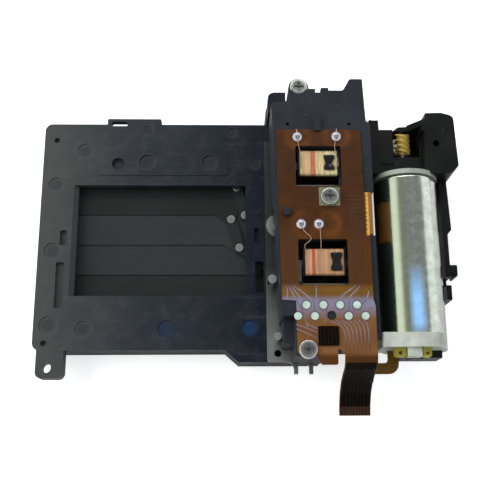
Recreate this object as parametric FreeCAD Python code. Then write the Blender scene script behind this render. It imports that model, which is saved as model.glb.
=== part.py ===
import FreeCAD, Part
import math
import os

# Focal-plane shutter of an APS-C reflex camera, with its charge motor.
# X runs from the aperture to the drive side, Y up in the picture, Z out of the front face.
# The origin is on the optical axis, at the rear face that seats on the camera's chassis.

os.makedirs("parts", exist_ok=True)
V = FreeCAD.Vector

# Image aperture and front opening
IMAGE_W = 22.8
IMAGE_H = 15.4
OPENING_LEFT = -12.0
OPENING_RIGHT = 17.8
OPENING_H = 20.2
REAR_OPENING_MARGIN = 1.0

# Levels of the stacked plates
REAR_COVER_T = 0.7
CHAMBER_H = 1.7
PARTITION_T = 0.2
WEB_T = 1.4
STEEL_T = 0.5
COVER_H = 9.55
COVER_TOP_T = 1.0
Z_PART = REAR_COVER_T + CHAMBER_H
Z_FRONT_CHAMBER = Z_PART + PARTITION_T
Z_WEB = Z_FRONT_CHAMBER + CHAMBER_H
Z_FRONT = Z_WEB + WEB_T
Z_STEEL = Z_FRONT + STEEL_T
Z_TOP = Z_STEEL + COVER_H
Z_MIDDLE = Z_PART + PARTITION_T / 2

# Base plate
PLATE_LEFT = -18.5
PLATE_TOP = 21.9
PLATE_BOTTOM = -19.5
PLATE_CORNER_R = 1.35
TAB_LEFT = -7.3
TAB_RIGHT = 2.5
TAB_TOP = 23.0
DRIVE_LEFT = 21.6
DRIVE_RIGHT = 38.5
DRIVE_TOP = 25.6
DRIVE_BOTTOM = -21.6
CHAMFER_LEFT = 14.1
CHAMFER_RIGHT = 16.45
STEP_BOTTOM = -19.5
LUG_RIGHT = 46.0
LUG_TOP = 18.0
LUG_BOTTOM = 11.6
EAR_LEFT = -17.7
EAR_RIGHT = -13.1
EAR_BOTTOM = -24.2
EAR_R = 1.1
EAR_T = 2.6
EAR_HOLE_X = -15.9
EAR_HOLE_Y = -22.4
EAR_HOLE_R = 0.85
RIM_T = 0.9
LEDGE = 0.2
PARTITION_GAP = 0.05
OPENING_BEVEL = 0.8
MARK_DEPTH = 0.15
CORNER_LEFT = 21.75
CORNER_RIGHT = 24.95
CORNER_BOTTOM = 22.1
CORNER_TOP = 26.1
CORNER_R = 1.2
CORNER_LEVEL = 10.5
RECESS_DEPTH = 0.6
PANEL_RISE = 0.12

# Linkage of each curtain, seen with the first curtain closed
MAIN_X = 31.7
MAIN_Y = 6.1
SUB_X = 32.7
TURN = 71.0
RIVETS = [(19.43, 147.8), (15.78, 161.3), (10.6, 165.0), (5.33, 165.0)]
ARM_HALF = 0.95
ARM_T = 0.15
HUB_R = 1.5
MAIN_SHAFT_R = 1.0
SUB_PIN_R = 0.8
FIT = 0.04
BLADE_T = 0.1
BLADE_STEP = 0.19
BLADE_LEFT = [-13.7, -14.9, -15.6, -15.6]
BLADE_TOPS = [11.6, 6.4, 0.8, -4.6]
BLADE_BOTTOMS = [5.2, -0.33, -5.79, -11.2]
TAB_R = 0.95
ARM_DROP = 0.36
RIVET_R = 0.32
RIVET_HEAD_R = 0.75
RIVET_HEAD_T = 0.2
RIVET_TAIL_R = 0.55
RIVET_TAIL_T = 0.05
RIVET_FIT = 0.02
BUFFER_R = 1.0
BUFFER_GAP = 0.15

# Steel drive plate
STEEL_LEFT = 21.15
STEEL_TOP = 18.4
STEEL_RIGHT = 38.3
STEEL_UPPER_LEFT = 24.6
STEEL_UPPER_TOP = 23.6
PRONG_BOTTOM = -23.7
PRONG_W = 0.7
PRONG_1 = 25.8
PRONG_GAP = 1.85
PRONG_2 = PRONG_1 + PRONG_W + PRONG_GAP
PRONG_FILLET = min(0.8, PRONG_GAP * 0.44)
STEP_GAP = 1.35
STEP_LEFT = PRONG_2 + PRONG_W + STEP_GAP
STEEL_HOLE = (23.1, -20.2)
STEEL_HOLE_R = 0.6

# Mechanism cover
WALL = 0.7
SIDE_WALL = 1.0
FOLD_RECESS = 0.5
FOLD_LOW = -2.0
FOLD_HIGH = 5.2
FOLD_DROP = 5.5
COVER_RIGHT = 38.9
COVER_BOTTOM = -22.0
WINDOW_2 = (26.0, 33.7, 6.3, 13.5)
WINDOW_1 = (26.1, 34.2, -10.55, -2.9)
SCREW_A = (26.9, 24.8)
SCREW_B = (31.5, 4.4)
SCREW_C = (27.3, -21.0)
SCREW_HEAD_R = 1.5
SCREW_HEAD_T = 0.9
SCREW_SHANK_R = 0.7
SCREW_LEN = 3.0
SCREW_C_DROP = 0.0
PILOT_FIT = 0.01

# Drive levers
HUB_OUT_R = 1.9
LEVER_Z = 8.4
LEVER_T = 0.9
HUB_TOP = 9.7
CHARGE_PIN_RAD = 4.2
CHARGE_PIN_R = 0.6
CHARGE_PIN_Z = 7.6
SPRING_MEAN_R = 2.45
SPRING_WIRE_R = 0.2
SPRING_TURNS = 3.0
SPRING_STEPS = 24
SPRING_SIDES = 8
SPRING_GAP = 0.08
SPRING_Z = 6.5

# Electromagnets
MAGNET_Z = 12.9
COIL_LEN = 6.4
COIL_H = 4.6
COIL_R = 1.7
BOBBIN_FLANGE = 0.3
BOBBIN_CORE = 1.9
CORE = 1.3
POLE_GAP = 0.05
LOWER_COIL_LEFT = 27.2
LOWER_COIL_Y = -6.5
LOWER_SECOND_LEG_Y = -10.4
UPPER_COIL_LEFT = 26.7
UPPER_COIL_Y = 10.8
UPPER_SECOND_LEG_Y = 6.7
ARMATURE_T = 0.6
ARMATURE_H = 1.6

# Charge train
MODULE = 0.3
WORM_STARTS = 3
WHEEL_TEETH = 12
PINION_TEETH = 10
IDLER_TEETH = 22
CAM_TEETH = 32
WORM_R = 1.2
WORM_LEN = 3.8
WORM_BOTTOM = 14.0
WHEEL_Y = 15.2
WHEEL_FACE = 1.6
GEAR_FACE = 1.0
TOOTH_SHARE = 0.38
ADDENDUM = 0.8
DEDENDUM = 1.25
CAM_X = 31.65
CAM_Y = 16.6
CAM_GEAR_Z = 8.2
CAM_GEAR_T = 1.2
CAM_Z = 7.6
CAM_T = 0.55
CAM_BASE_R = 2.8
CAM_LIFT = 2.3
IDLER_Z = 11.3
IDLER_PINION_Z = 8.1
SHAFT_R = 0.6
CHARGE_Z = 6.5
CHARGE_T = 1.0
CHARGE_PIVOT = (25.2, 13.4)
CHARGE_ARM = 11.5
CHARGE_REST = -4.0
CHARGE_FOLLOWER = 6.0
CHARGE_TURN = 23.5
SLIDER_LEFT = 36.0
SLIDER_RIGHT = 37.7
SLIDER_BOTTOM = -3.4
SLIDER_TOP = 14.2
SLIDER_STROKE = 4.5
SLIDER_NOSE_LEFT = 34.8
NOSE_H = 0.8
GUIDE_R = 0.5

# Motor and gearbox
MOTOR_X = 45.4
MOTOR_Z = 10.25
MOTOR_R = 5.4
MOTOR_TOP = 8.8
MOTOR_BOTTOM = -18.15
CAP_BOTTOM = -20.5
CAP_LEFT = 39.25
CAP_RIGHT = 48.7
MOTOR_SHAFT_R = 0.5
GASKET_T = 0.8
HOUSING_TOP_LEVEL = 11.4
BOX_LEVEL = 14.5
BAY_FLOOR = 7.8
BAY_LEFT = 43.3
BAY_RIGHT = 48.2
BAY_BOTTOM = 12.7
BAY_TOP = 18.25
HOUSING_BOTTOM = MOTOR_TOP + GASKET_T
HOUSING_HOLE = (50.45, 14.7)
HOUSING_HOLE_R = 0.57
HOUSING_HOLE_DEPTH = 4.0

# Flexible circuit board
FLEX_T = 0.2
FLEX_TOP = 16.5
TAIL_LEFT = 33.1
TAIL_RIGHT = 38.3
TAIL_END = -30.6
TAIL_Z = 6.3
PAD_Y_UPPER = -13.85
PAD_Y_LOWER = -15.65
PAD_PITCH = 2.7
PAD_R = 0.62
PAD_T = 0.05
SOLDER_R = 0.9
SOLDER_H = 0.55
STIFFENER_T = 0.25
TAIL_STIFFENER_T = 0.1
CONTACT_COUNT = 10
CONTACT_PITCH = 0.5
CONTACT_W = 0.3
CONTACT_LEN = 1.9
CONTACT_T = 0.03


def box(x0, x1, y0, y1, z0, z1):
    """Block between two corners."""
    return Part.makeBox(x1 - x0, y1 - y0, z1 - z0, V(x0, y0, z0))


def disc(x, y, r, z0, z1):
    """Upright cylinder."""
    return Part.makeCylinder(r, z1 - z0, V(x, y, z0))


def outline(points):
    """Closed wire through (x, y) or (x, y, r) points, with corners rounded where r is given."""
    edges = []
    ends = []
    count = len(points)
    for i, point in enumerate(points):
        here = V(point[0], point[1], 0)
        radius = point[2] if len(point) > 2 else 0.0
        before = V(*points[i - 1][:2], 0) - here
        after = V(*points[(i + 1) % count][:2], 0) - here
        if radius <= 0:
            ends.append((here, here, None))
            continue
        half = before.getAngle(after) / 2
        reach = radius / math.tan(half)
        start = here + before.normalize() * reach
        end = here + after.normalize() * reach
        middle = before + after
        tip = here + middle.normalize() * (radius / math.sin(half) - radius)
        ends.append((start, end, tip))
    for i, (start, end, tip) in enumerate(ends):
        if tip is not None:
            edges.append(Part.Arc(start, tip, end).toShape())
        following = ends[(i + 1) % count][0]
        if end.distanceToPoint(following) > 1e-6:
            edges.append(Part.LineSegment(end, following).toShape())
    return Part.Wire(edges)


def sheet(points, z0, z1):
    """Plate of the given outline between two levels."""
    face = Part.Face(outline(points))
    face.translate(V(0, 0, z0))
    return face.extrude(V(0, 0, z1 - z0))


def rectangle(x0, x1, y0, y1, z0, z1, r=0.0):
    """Plate with four like corners."""
    return sheet([(x0, y0, r), (x1, y0, r), (x1, y1, r), (x0, y1, r)], z0, z1)


def bar(x0, y0, x1, y1, r, z0, z1):
    """Flat bar with round ends."""
    length = math.hypot(x1 - x0, y1 - y0)
    body = box(0, length, -r, r, 0, z1 - z0)
    body = body.fuse(disc(0, 0, r, 0, z1 - z0)).fuse(disc(length, 0, r, 0, z1 - z0)).removeSplitter()
    body.rotate(V(0, 0, 0), V(0, 0, 1), math.degrees(math.atan2(y1 - y0, x1 - x0)))
    body.translate(V(x0, y0, z0))
    return body


def join(shapes):
    """One solid from several that meet."""
    whole = shapes[0]
    if len(shapes) > 1:
        whole = whole.fuse(shapes[1:])
    return whole.removeSplitter()


def less(shape, cutters):
    """Shape with every cutter taken out."""
    return shape.cut(cutters) if cutters else shape


def keep(name, shape):
    """Write one node."""
    if isinstance(shape, list):
        shape = Part.makeCompound(shape)
    shape.exportStep("parts/" + name + ".step")
    print(name, "solids", len(shape.Solids), "volume", round(shape.Volume, 3), shape.isValid())


def polar(r, degrees):
    """Point at a radius and an angle."""
    return r * math.cos(math.radians(degrees)), r * math.sin(math.radians(degrees))


def plate_outline(inset):
    """Outline of the base plate without tab and ear, moved in by an inset."""
    r = PLATE_CORNER_R - inset if PLATE_CORNER_R > inset else 0.0
    slope = inset * 0.4
    return [
        (PLATE_LEFT + inset, PLATE_TOP - inset, r),
        (DRIVE_LEFT + inset, PLATE_TOP - inset),
        (DRIVE_LEFT + inset, DRIVE_TOP - inset, 0.9),
        (DRIVE_RIGHT - inset, DRIVE_TOP - inset, 0.9),
        (DRIVE_RIGHT - inset, STEP_BOTTOM + inset),
        (STEP_LEFT - inset, STEP_BOTTOM + inset),
        (STEP_LEFT - inset, DRIVE_BOTTOM + inset),
        (CHAMFER_RIGHT + slope, DRIVE_BOTTOM + inset),
        (CHAMFER_LEFT + slope, PLATE_BOTTOM + inset),
        (PLATE_LEFT + inset, PLATE_BOTTOM + inset, r),
    ]


EJECTOR_MARKS = [
    (-11.1, 16.7, 1.43), (0.1, 14.5, 1.5), (11.4, 14.5, 1.5), (0.2, 21.0 - 0.3, 1.0), (15.4, 20.3, 1.0),
    (-16.0, 10.2, 1.4), (-16.0, -2.1, 1.5), (19.5, 14.2, 1.05), (-16.0, -15.2, 1.6), (-10.0, -15.9, 1.5),
    (4.1, -15.9, 1.5), (18.4, -15.8, 1.43),
]
LOCATING_HOLE = (-5.1, 14.2, 1.15)
KEY_HOLES = [(-16.3, 18.7), (-16.6, -18.3)]
LEFT_SLOTS = [(-14.8, -13.6, -1.0, 1.7), (-15.2, -13.8, -12.2, -4.1)]
RIGHT_SLOTS = [(19.3, 20.1, -0.45, 2.1)]
DEEP_SLOT = (19.4, 20.9, -9.5, -4.0)
TAB_SLOT = (-6.6, -3.6, 21.6, 22.5)
PANEL = (-8.6, 14.6, 12.0, 16.45)


def base_plate():
    """Moulded front plate with its rim, opening, tab, ear and marks."""
    body = sheet(plate_outline(0.0), REAR_COVER_T, Z_FRONT)
    tab = rectangle(TAB_LEFT, TAB_RIGHT, PLATE_TOP - 1.0, TAB_TOP, Z_FRONT - WEB_T, Z_FRONT, 0.3)
    ear = sheet(
        [(EAR_LEFT, PLATE_BOTTOM + 1.0), (EAR_LEFT, EAR_BOTTOM, EAR_R),
         (EAR_RIGHT, EAR_BOTTOM, EAR_R), (EAR_RIGHT, PLATE_BOTTOM + 1.0)],
        Z_FRONT - EAR_T, Z_FRONT,
    )
    lug = box(DRIVE_RIGHT - 1.0, LUG_RIGHT, LUG_BOTTOM, LUG_TOP, Z_WEB, Z_FRONT)
    panel = rectangle(*PANEL, Z_FRONT, Z_FRONT + PANEL_RISE, 0.5)
    corner = sheet(
        [(CORNER_LEFT, CORNER_BOTTOM), (CORNER_RIGHT, CORNER_BOTTOM), (CORNER_RIGHT, CORNER_TOP),
         (CORNER_LEFT, CORNER_TOP, CORNER_R)],
        Z_WEB, CORNER_LEVEL,
    )
    body = join([body, tab, ear, lug, panel, corner])
    rear_hollow = sheet(plate_outline(RIM_T), REAR_COVER_T, Z_FRONT_CHAMBER)
    front_hollow = sheet(plate_outline(RIM_T + LEDGE), Z_FRONT_CHAMBER, Z_WEB)
    half = OPENING_H / 2
    opening = box(OPENING_LEFT, OPENING_RIGHT, -half, half, Z_WEB - 1.0, Z_FRONT + 1.0)
    bevel_depth = 0.7
    side = [V(OPENING_LEFT - OPENING_BEVEL, 0, Z_FRONT), V(OPENING_LEFT, 0, Z_FRONT - bevel_depth),
            V(OPENING_LEFT + 0.1, 0, Z_FRONT + PANEL_RISE), V(OPENING_LEFT - OPENING_BEVEL, 0, Z_FRONT + PANEL_RISE)]
    bevel = Part.Face(Part.makePolygon(side + side[:1])).extrude(V(0, OPENING_H, 0))
    bevel.translate(V(0, -half, 0))
    cutters = [rear_hollow, front_hollow, opening, bevel]
    for x, y, r in EJECTOR_MARKS:
        ring = disc(x, y, r, Z_FRONT - MARK_DEPTH, Z_FRONT + PANEL_RISE + 0.1)
        cutters.append(ring)
    x, y, r = LOCATING_HOLE
    cutters.append(disc(x, y, r, Z_FRONT - RECESS_DEPTH, Z_FRONT + 1.0))
    for x, y in KEY_HOLES:
        cutters.append(disc(x, y, 0.5, Z_FRONT - RECESS_DEPTH, Z_FRONT + 1.0))
        cutters.append(box(x - 0.1, x + 0.6, y - 0.15, y + 0.15, Z_FRONT - RECESS_DEPTH, Z_FRONT + 1.0))
    for x0, x1, y0, y1 in LEFT_SLOTS + RIGHT_SLOTS:
        cutters.append(rectangle(x0, x1, y0, y1, Z_FRONT - RECESS_DEPTH, Z_FRONT + 1.0, 0.25))
    cutters.append(rectangle(*DEEP_SLOT, Z_WEB - 0.5, Z_FRONT + 1.0, 0.3))
    cutters.append(rectangle(*TAB_SLOT, Z_WEB - 0.5, Z_FRONT + 1.0, 0.4))
    cutters.append(disc(EAR_HOLE_X, EAR_HOLE_Y, EAR_HOLE_R, 0, Z_FRONT + 1.0))
    for sign in (-1, 1):
        cutters.append(disc(MAIN_X, sign * MAIN_Y, MAIN_SHAFT_R + FIT, Z_WEB - 0.5, Z_FRONT + 1.0))
    cutters.append(disc(SUB_X, 0, SUB_PIN_R, Z_WEB - 0.5, Z_FRONT - 0.3))
    cutters.append(disc(*SCREW_A, SCREW_SHANK_R + PILOT_FIT, Z_WEB - 0.5, Z_FRONT + 1.0))
    cutters.append(disc(*STEEL_HOLE, STEEL_HOLE_R, Z_WEB - 0.5, Z_FRONT + 1.0))
    return less(body, cutters)


def rear_cover():
    """Flat back plate with the rear opening and a round stud at each buffer."""
    body = sheet(plate_outline(0.0), 0, REAR_COVER_T)
    w = IMAGE_W / 2 + REAR_OPENING_MARGIN
    h = IMAGE_H / 2 + REAR_OPENING_MARGIN
    cutters = [rectangle(-w, w, -h, h, -1, REAR_COVER_T + 1, 0.6)]
    cutters += [disc(x, y, REAR_SCREW_R + 0.05, -1, REAR_COVER_T + 1) for x, y in REAR_SCREWS]
    cutters += [disc(x, y, REAR_HEAD_R + 0.05, -1, REAR_HEAD_T) for x, y in REAR_SCREWS]
    cutters.append(disc(SUB_X, 0, SUB_PIN_R, -1, REAR_COVER_T + 1))
    return less(body, cutters)


REAR_SCREWS = [(-16.95, -18.0), (-16.95, 20.4), (24.3, 24.1), (36.6, 24.1), (36.6, -17.9)]
REAR_SCREW_R = 0.45
REAR_HEAD_R = 0.75
REAR_HEAD_T = 0.35
REAR_SCREW_LEN = 2.6
REAR_POST_R = 1.2


def partition():
    """Thin dividing sheet with the image aperture."""
    body = sheet(plate_outline(RIM_T + PARTITION_GAP), Z_PART, Z_FRONT_CHAMBER)
    w = IMAGE_W / 2
    h = IMAGE_H / 2
    cutters = [
        rectangle(-w, w, -h, h, 0, Z_FRONT, 0.3),
        disc(MAIN_X, MAIN_Y, MAIN_SHAFT_R + 0.2, 0, Z_FRONT),
        disc(SUB_X, 0, SUB_PIN_R + 0.05, 0, Z_FRONT),
    ]
    cutters += [disc(x, y, REAR_POST_R + 0.1, 0, Z_FRONT) for x, y in REAR_SCREWS]
    return less(body, cutters)


def arm_points(pivot_x, pivot_y, sign):
    """Pivot and rivet centres of one arm with its curtain closed."""
    points = [(pivot_x, pivot_y)]
    for radius, angle in reversed(RIVETS):
        dx, dy = polar(radius, angle)
        points.append((pivot_x + dx, pivot_y + sign * dy))
    return points


def arm_shape(points, hub_hole_r, z0):
    """Cranked arm: a hub, a bar between each two rivets, and the rivet holes."""
    z1 = z0 + ARM_T
    parts = [disc(*points[0], HUB_R, z0, z1)]
    for first, second in zip(points, points[1:]):
        parts.append(bar(*first, *second, ARM_HALF, z0, z1))
    holes = [disc(*points[0], hub_hole_r, z0 - 1, z1 + 1)]
    holes += [disc(x, y, RIVET_R + RIVET_FIT, z0 - 1, z1 + 1) for x, y in points[1:]]
    return less(join(parts), holes)


def blade_shape(index, sign):
    """One blade: a strip across the opening and a tab around its two rivets."""
    mains = arm_points(MAIN_X, -sign * MAIN_Y, sign)
    subs = arm_points(SUB_X, 0, sign)
    main = mains[len(RIVETS) - index]
    sub = subs[len(RIVETS) - index]
    top = sign * BLADE_TOPS[index]
    bottom = sign * BLADE_BOTTOMS[index]
    low, high = min(top, bottom), max(top, bottom)
    right = min(main[0], sub[0]) - TAB_R
    strip = rectangle(BLADE_LEFT[index], right, low, high, 0, BLADE_T, 0.5)
    spine = bar(*main, *sub, TAB_R, 0, BLADE_T)
    neck_r = TAB_R
    web_high = sign * (BLADE_TOPS[index] - neck_r)
    web_low = sign * (BLADE_BOTTOMS[index] + neck_r)
    spine_low, spine_high = sorted((main[1], sub[1]))
    near = [(right - 1.8, web_low), (main[0], main[1]), (sub[0], sub[1]), (right - 1.8, web_high)]
    gusset = sheet([(x, y) for x, y in near], 0, BLADE_T)
    rounding = bar(right - 1.8, web_low, main[0], main[1], neck_r, 0, BLADE_T)
    rounding_2 = bar(right - 1.8, web_high, sub[0], sub[1], neck_r, 0, BLADE_T)
    whole = join([strip, spine, gusset, rounding, rounding_2])
    holes = [disc(*main, RIVET_R + RIVET_FIT, -1, 1), disc(*sub, RIVET_R + RIVET_FIT, -1, 1)]
    return less(whole, holes)


def front_level(index):
    """Underside of a first-curtain blade; index -1 is the arm."""
    arm_bottom = Z_WEB - ARM_DROP - ARM_T
    if index < 0:
        return arm_bottom
    return arm_bottom - BLADE_STEP * (index + 1)


def to_rear(shape):
    """The second curtain lies in the rear chamber, mirrored about the partition."""
    return shape.mirror(V(0, 0, Z_MIDDLE), V(0, 0, 1))


def rivet(x, y, index):
    """Rivet from the arm through to its blade."""
    arm_bottom = front_level(-1)
    blade_bottom = front_level(index)
    head = disc(x, y, RIVET_HEAD_R, arm_bottom + ARM_T, arm_bottom + ARM_T + RIVET_HEAD_T)
    head = head.makeFillet(RIVET_HEAD_T * 0.6, [head.Edges[0]])
    shank = disc(x, y, RIVET_R, blade_bottom, arm_bottom + ARM_T)
    tail = disc(x, y, RIVET_TAIL_R, blade_bottom - RIVET_TAIL_T, blade_bottom)
    return join([head, shank, tail])


def curtain(name, sign):
    """Four blades, two arms and their rivets; the second curtain starts stacked clear of the opening."""
    mains = arm_points(MAIN_X, -sign * MAIN_Y, sign)
    subs = arm_points(SUB_X, 0, sign)
    swing = 0.0 if sign > 0 else -TURN
    place = (lambda shape: shape) if sign > 0 else to_rear
    turned = math.radians(swing)

    def swung(point, pivot):
        dx, dy = point[0] - pivot[0], point[1] - pivot[1]
        return (pivot[0] + dx * math.cos(turned) - dy * math.sin(turned),
                pivot[1] + dx * math.sin(turned) + dy * math.cos(turned))

    for label, points, hole in (("main", mains, MAIN_SHAFT_R), ("sub", subs, SUB_PIN_R + FIT)):
        arm = arm_shape(points, hole, front_level(-1))
        arm.rotate(V(*points[0], 0), V(0, 0, 1), swing)
        keep(name + "_" + label + "_arm", place(arm))
        rivets = []
        for index in range(len(RIVETS)):
            x, y = swung(points[len(RIVETS) - index], points[0])
            rivets.append(place(rivet(x, y, index)))
        keep(name + "_" + label + "_rivets", rivets)
    for index in range(len(RIVETS)):
        blade = blade_shape(index, sign)
        old = mains[len(RIVETS) - index]
        new = swung(old, mains[0])
        blade.translate(V(new[0] - old[0], new[1] - old[1], front_level(index)))
        keep(name + "_blade_" + str(index + 1), place(blade))


def buffers():
    """Rubber stops: the first main arm and the second sub arm run against them."""
    made = []
    reach = 5.4
    hub = V(MAIN_X, -MAIN_Y, 0)
    end_angle = RIVETS[2][1] + TURN
    offset = ARM_HALF + BUFFER_R + BUFFER_GAP
    x, y = polar(reach, end_angle)
    nx, ny = polar(offset, end_angle + 90)
    made.append(disc(hub.x + x + nx, hub.y + y + ny, BUFFER_R, Z_FRONT_CHAMBER, Z_WEB))
    reach = 8.0
    end_angle = 360 - RIVETS[2][1]
    x, y = polar(reach, end_angle)
    nx, ny = polar(offset, end_angle + 90)
    made.append(disc(SUB_X + x + nx, y + ny, BUFFER_R, REAR_COVER_T, Z_PART))
    return made


RATCHET = (23.45, 2.2)
RATCHET_R = 2.2
RATCHET_T = 0.9
SPACERS = [(23.75, -8.2), (24.3, -17.9)]
SPACER_R = 0.75


def steel_plate():
    """Bright drive plate with two spring prongs at its lower edge."""
    edge = DRIVE_BOTTOM
    points = [
        (STEEL_LEFT, STEEL_TOP, 0.3), (STEEL_UPPER_LEFT, STEEL_TOP), (STEEL_UPPER_LEFT, STEEL_UPPER_TOP),
        (STEEL_RIGHT, STEEL_UPPER_TOP, 0.4), (STEEL_RIGHT, STEP_BOTTOM, 0.4), (STEP_LEFT, STEP_BOTTOM, 0.3),
        (STEP_LEFT, edge, 0.3), (PRONG_2 + PRONG_W, edge, 0.4),
        (PRONG_2 + PRONG_W, PRONG_BOTTOM, 0.15), (PRONG_2, PRONG_BOTTOM, 0.15), (PRONG_2, edge - 0.15, PRONG_FILLET),
        (PRONG_1 + PRONG_W, edge - 0.15, PRONG_FILLET), (PRONG_1 + PRONG_W, PRONG_BOTTOM, 0.15),
        (PRONG_1, PRONG_BOTTOM, 0.15), (PRONG_1, edge, 1.4), (STEEL_LEFT + 0.15, edge, 0.3),
    ]
    body = sheet(points, Z_FRONT, Z_STEEL)
    holes = [disc(MAIN_X, s * MAIN_Y, MAIN_SHAFT_R + FIT, 0, Z_TOP) for s in (-1, 1)]
    holes.append(disc(*STEEL_HOLE, STEEL_HOLE_R, 0, Z_TOP))
    for x, y, r in fixed_axles():
        holes.append(disc(x, y, r, 0, Z_TOP))
    return less(body, holes)


def centre_distance(first, second):
    """Distance at which two spur gears mesh."""
    return MODULE * (first + second) / 2


WHEEL_X = MOTOR_X - WORM_R - MODULE * WHEEL_TEETH / 2


def idler_centre():
    """Idler axis, at its two centre distances from the worm wheel and the cam gear."""
    near = centre_distance(PINION_TEETH, IDLER_TEETH)
    far = centre_distance(PINION_TEETH, CAM_TEETH)
    dx, dy = CAM_X - WHEEL_X, CAM_Y - WHEEL_Y
    span = math.hypot(dx, dy)
    along = (near ** 2 - far ** 2 + span ** 2) / (2 * span)
    side = -math.sqrt(max(near ** 2 - along ** 2, 0.0))
    return (WHEEL_X + (dx * along - dy * side) / span, WHEEL_Y + (dy * along + dx * side) / span)


def fixed_axles():
    """Fixed pins that stand in the steel plate: x, y and radius."""
    ix, iy = idler_centre()
    return [(ix, iy, SHAFT_R), (CAM_X, CAM_Y, SHAFT_R), (*CHARGE_PIVOT, SHAFT_R),
            (*guide_pins()[0], GUIDE_R), (*guide_pins()[1], GUIDE_R)]


def guide_pins():
    """Pins that guide the charge slider."""
    x = (SLIDER_LEFT + SLIDER_RIGHT) / 2
    return [(x, SLIDER_BOTTOM + 1.6), (x, SLIDER_BOTTOM + 9.0)]


def gear(teeth, z0, z1, x, y, gap_angle):
    """Spur gear with straight flanks; a tooth gap faces gap_angle."""
    wire = gear_wire(teeth, gap_angle)
    face = Part.Face(wire)
    face.translate(V(x, y, z0))
    return face.extrude(V(0, 0, z1 - z0))


def gear_wire(teeth, gap_angle):
    """Toothed outline about the origin."""
    pitch_r = MODULE * teeth / 2
    tip_r = pitch_r + ADDENDUM * MODULE
    root_r = pitch_r - DEDENDUM * MODULE
    pitch = 360.0 / teeth
    half = pitch * TOOTH_SHARE / 2
    tip_half = half - math.degrees(ADDENDUM * MODULE * math.tan(math.radians(20)) / pitch_r)
    root_half = half + math.degrees(DEDENDUM * MODULE * math.tan(math.radians(14)) / pitch_r)
    points = []
    for tooth in range(teeth):
        middle = gap_angle + pitch * (tooth + 0.5)
        for radius, angle in ((root_r, middle - root_half), (tip_r, middle - tip_half),
                              (tip_r, middle + tip_half), (root_r, middle + root_half)):
            points.append(V(*polar(radius, angle), 0))
    return Part.makePolygon(points + points[:1])


def twisted(wire, degrees, length, steps):
    """Loft a flat outline along Z while it turns about Z."""
    sections = []
    for step in range(steps + 1):
        copy = wire.copy()
        copy.rotate(V(0, 0, 0), V(0, 0, 1), degrees * step / steps)
        copy.translate(V(0, 0, length * step / steps))
        sections.append(copy)
    return Part.makeLoft(sections, True, True)


def worm():
    """Three-start left-hand worm on the motor shaft."""
    pitch = math.pi * MODULE
    lead = pitch * WORM_STARTS
    tip_r = WORM_R + ADDENDUM * MODULE
    root_r = WORM_R - DEDENDUM * MODULE
    start_pitch = 360.0 / WORM_STARTS
    tip_half = start_pitch * TOOTH_SHARE * 0.27
    root_half = start_pitch * TOOTH_SHARE * 0.78
    points = []
    for start in range(WORM_STARTS):
        middle = start * start_pitch
        for radius, angle in ((root_r, -root_half), (tip_r, -tip_half), (tip_r, 0), (tip_r, tip_half),
                              (root_r, root_half), (root_r, start_pitch / 2)):
            points.append(V(*polar(radius, middle + angle), 0))
    wire = Part.makePolygon(points + points[:1])
    steps = 38
    solid = twisted(wire, 360.0 * WORM_LEN / lead, WORM_LEN, steps)
    # The loft grows along +Z and turns from X to Y; it is laid along +Y with Z where Y was.
    solid.mirror(V(0, 0, 0), V(0, 1, 0))
    matrix = FreeCAD.Matrix(1, 0, 0, 0, 0, 0, 1, 0, 0, 1, 0, 0, 0, 0, 0, 1)
    solid = solid.transformGeometry(matrix)
    # A crest faces the wheel where the wheel's middle plane crosses.
    turn = 180.0 - 360.0 * (WHEEL_Y - WORM_BOTTOM) / lead
    solid.rotate(V(0, 0, 0), V(0, 1, 0), -turn)
    solid.translate(V(MOTOR_X, WORM_BOTTOM, MOTOR_Z))
    bore = Part.makeCylinder(MOTOR_SHAFT_R, WORM_LEN + 2, V(MOTOR_X, WORM_BOTTOM - 1, MOTOR_Z), V(0, 1, 0))
    return solid.cut(bore)


def worm_wheel():
    """Helical wheel on the worm, with the first pinion above it."""
    lead_angle = math.atan(MODULE * WORM_STARTS / (2 * WORM_R))
    pitch_r = MODULE * WHEEL_TEETH / 2
    twist = -math.degrees(WHEEL_FACE * math.tan(lead_angle) / pitch_r)
    wheel = twisted(gear_wire(WHEEL_TEETH, -twist / 2), twist, WHEEL_FACE, 6)
    wheel.translate(V(WHEEL_X, WHEEL_Y, MOTOR_Z - WHEEL_FACE / 2))
    collar = disc(WHEEL_X, WHEEL_Y, 0.95, MOTOR_Z + WHEEL_FACE / 2, IDLER_Z)
    pinion = gear(PINION_TEETH, IDLER_Z, IDLER_Z + GEAR_FACE, WHEEL_X, WHEEL_Y, gap_to_idler())
    whole = join([wheel, collar, pinion])
    return less(whole, [disc(WHEEL_X, WHEEL_Y, AXLE_R + FIT, 0, Z_TOP)])


AXLE_R = 0.45


def gap_to_idler():
    """Direction from the worm wheel to the idler; the pinion shows it a tooth gap."""
    ix, iy = idler_centre()
    return math.degrees(math.atan2(iy - WHEEL_Y, ix - WHEEL_X))


def idler_gear():
    """Idler: the large gear meets the first pinion, its own pinion meets the cam gear."""
    ix, iy = idler_centre()
    to_wheel = gap_to_idler() + 180.0
    big = gear(IDLER_TEETH, IDLER_Z, IDLER_Z + GEAR_FACE, ix, iy, to_wheel + 180.0 / IDLER_TEETH)
    to_cam = math.degrees(math.atan2(CAM_Y - iy, CAM_X - ix))
    small = gear(PINION_TEETH, IDLER_PINION_Z, IDLER_Z, ix, iy, to_cam)
    return less(join([big, small]), [disc(ix, iy, SHAFT_R + FIT, 0, Z_TOP)])


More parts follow.
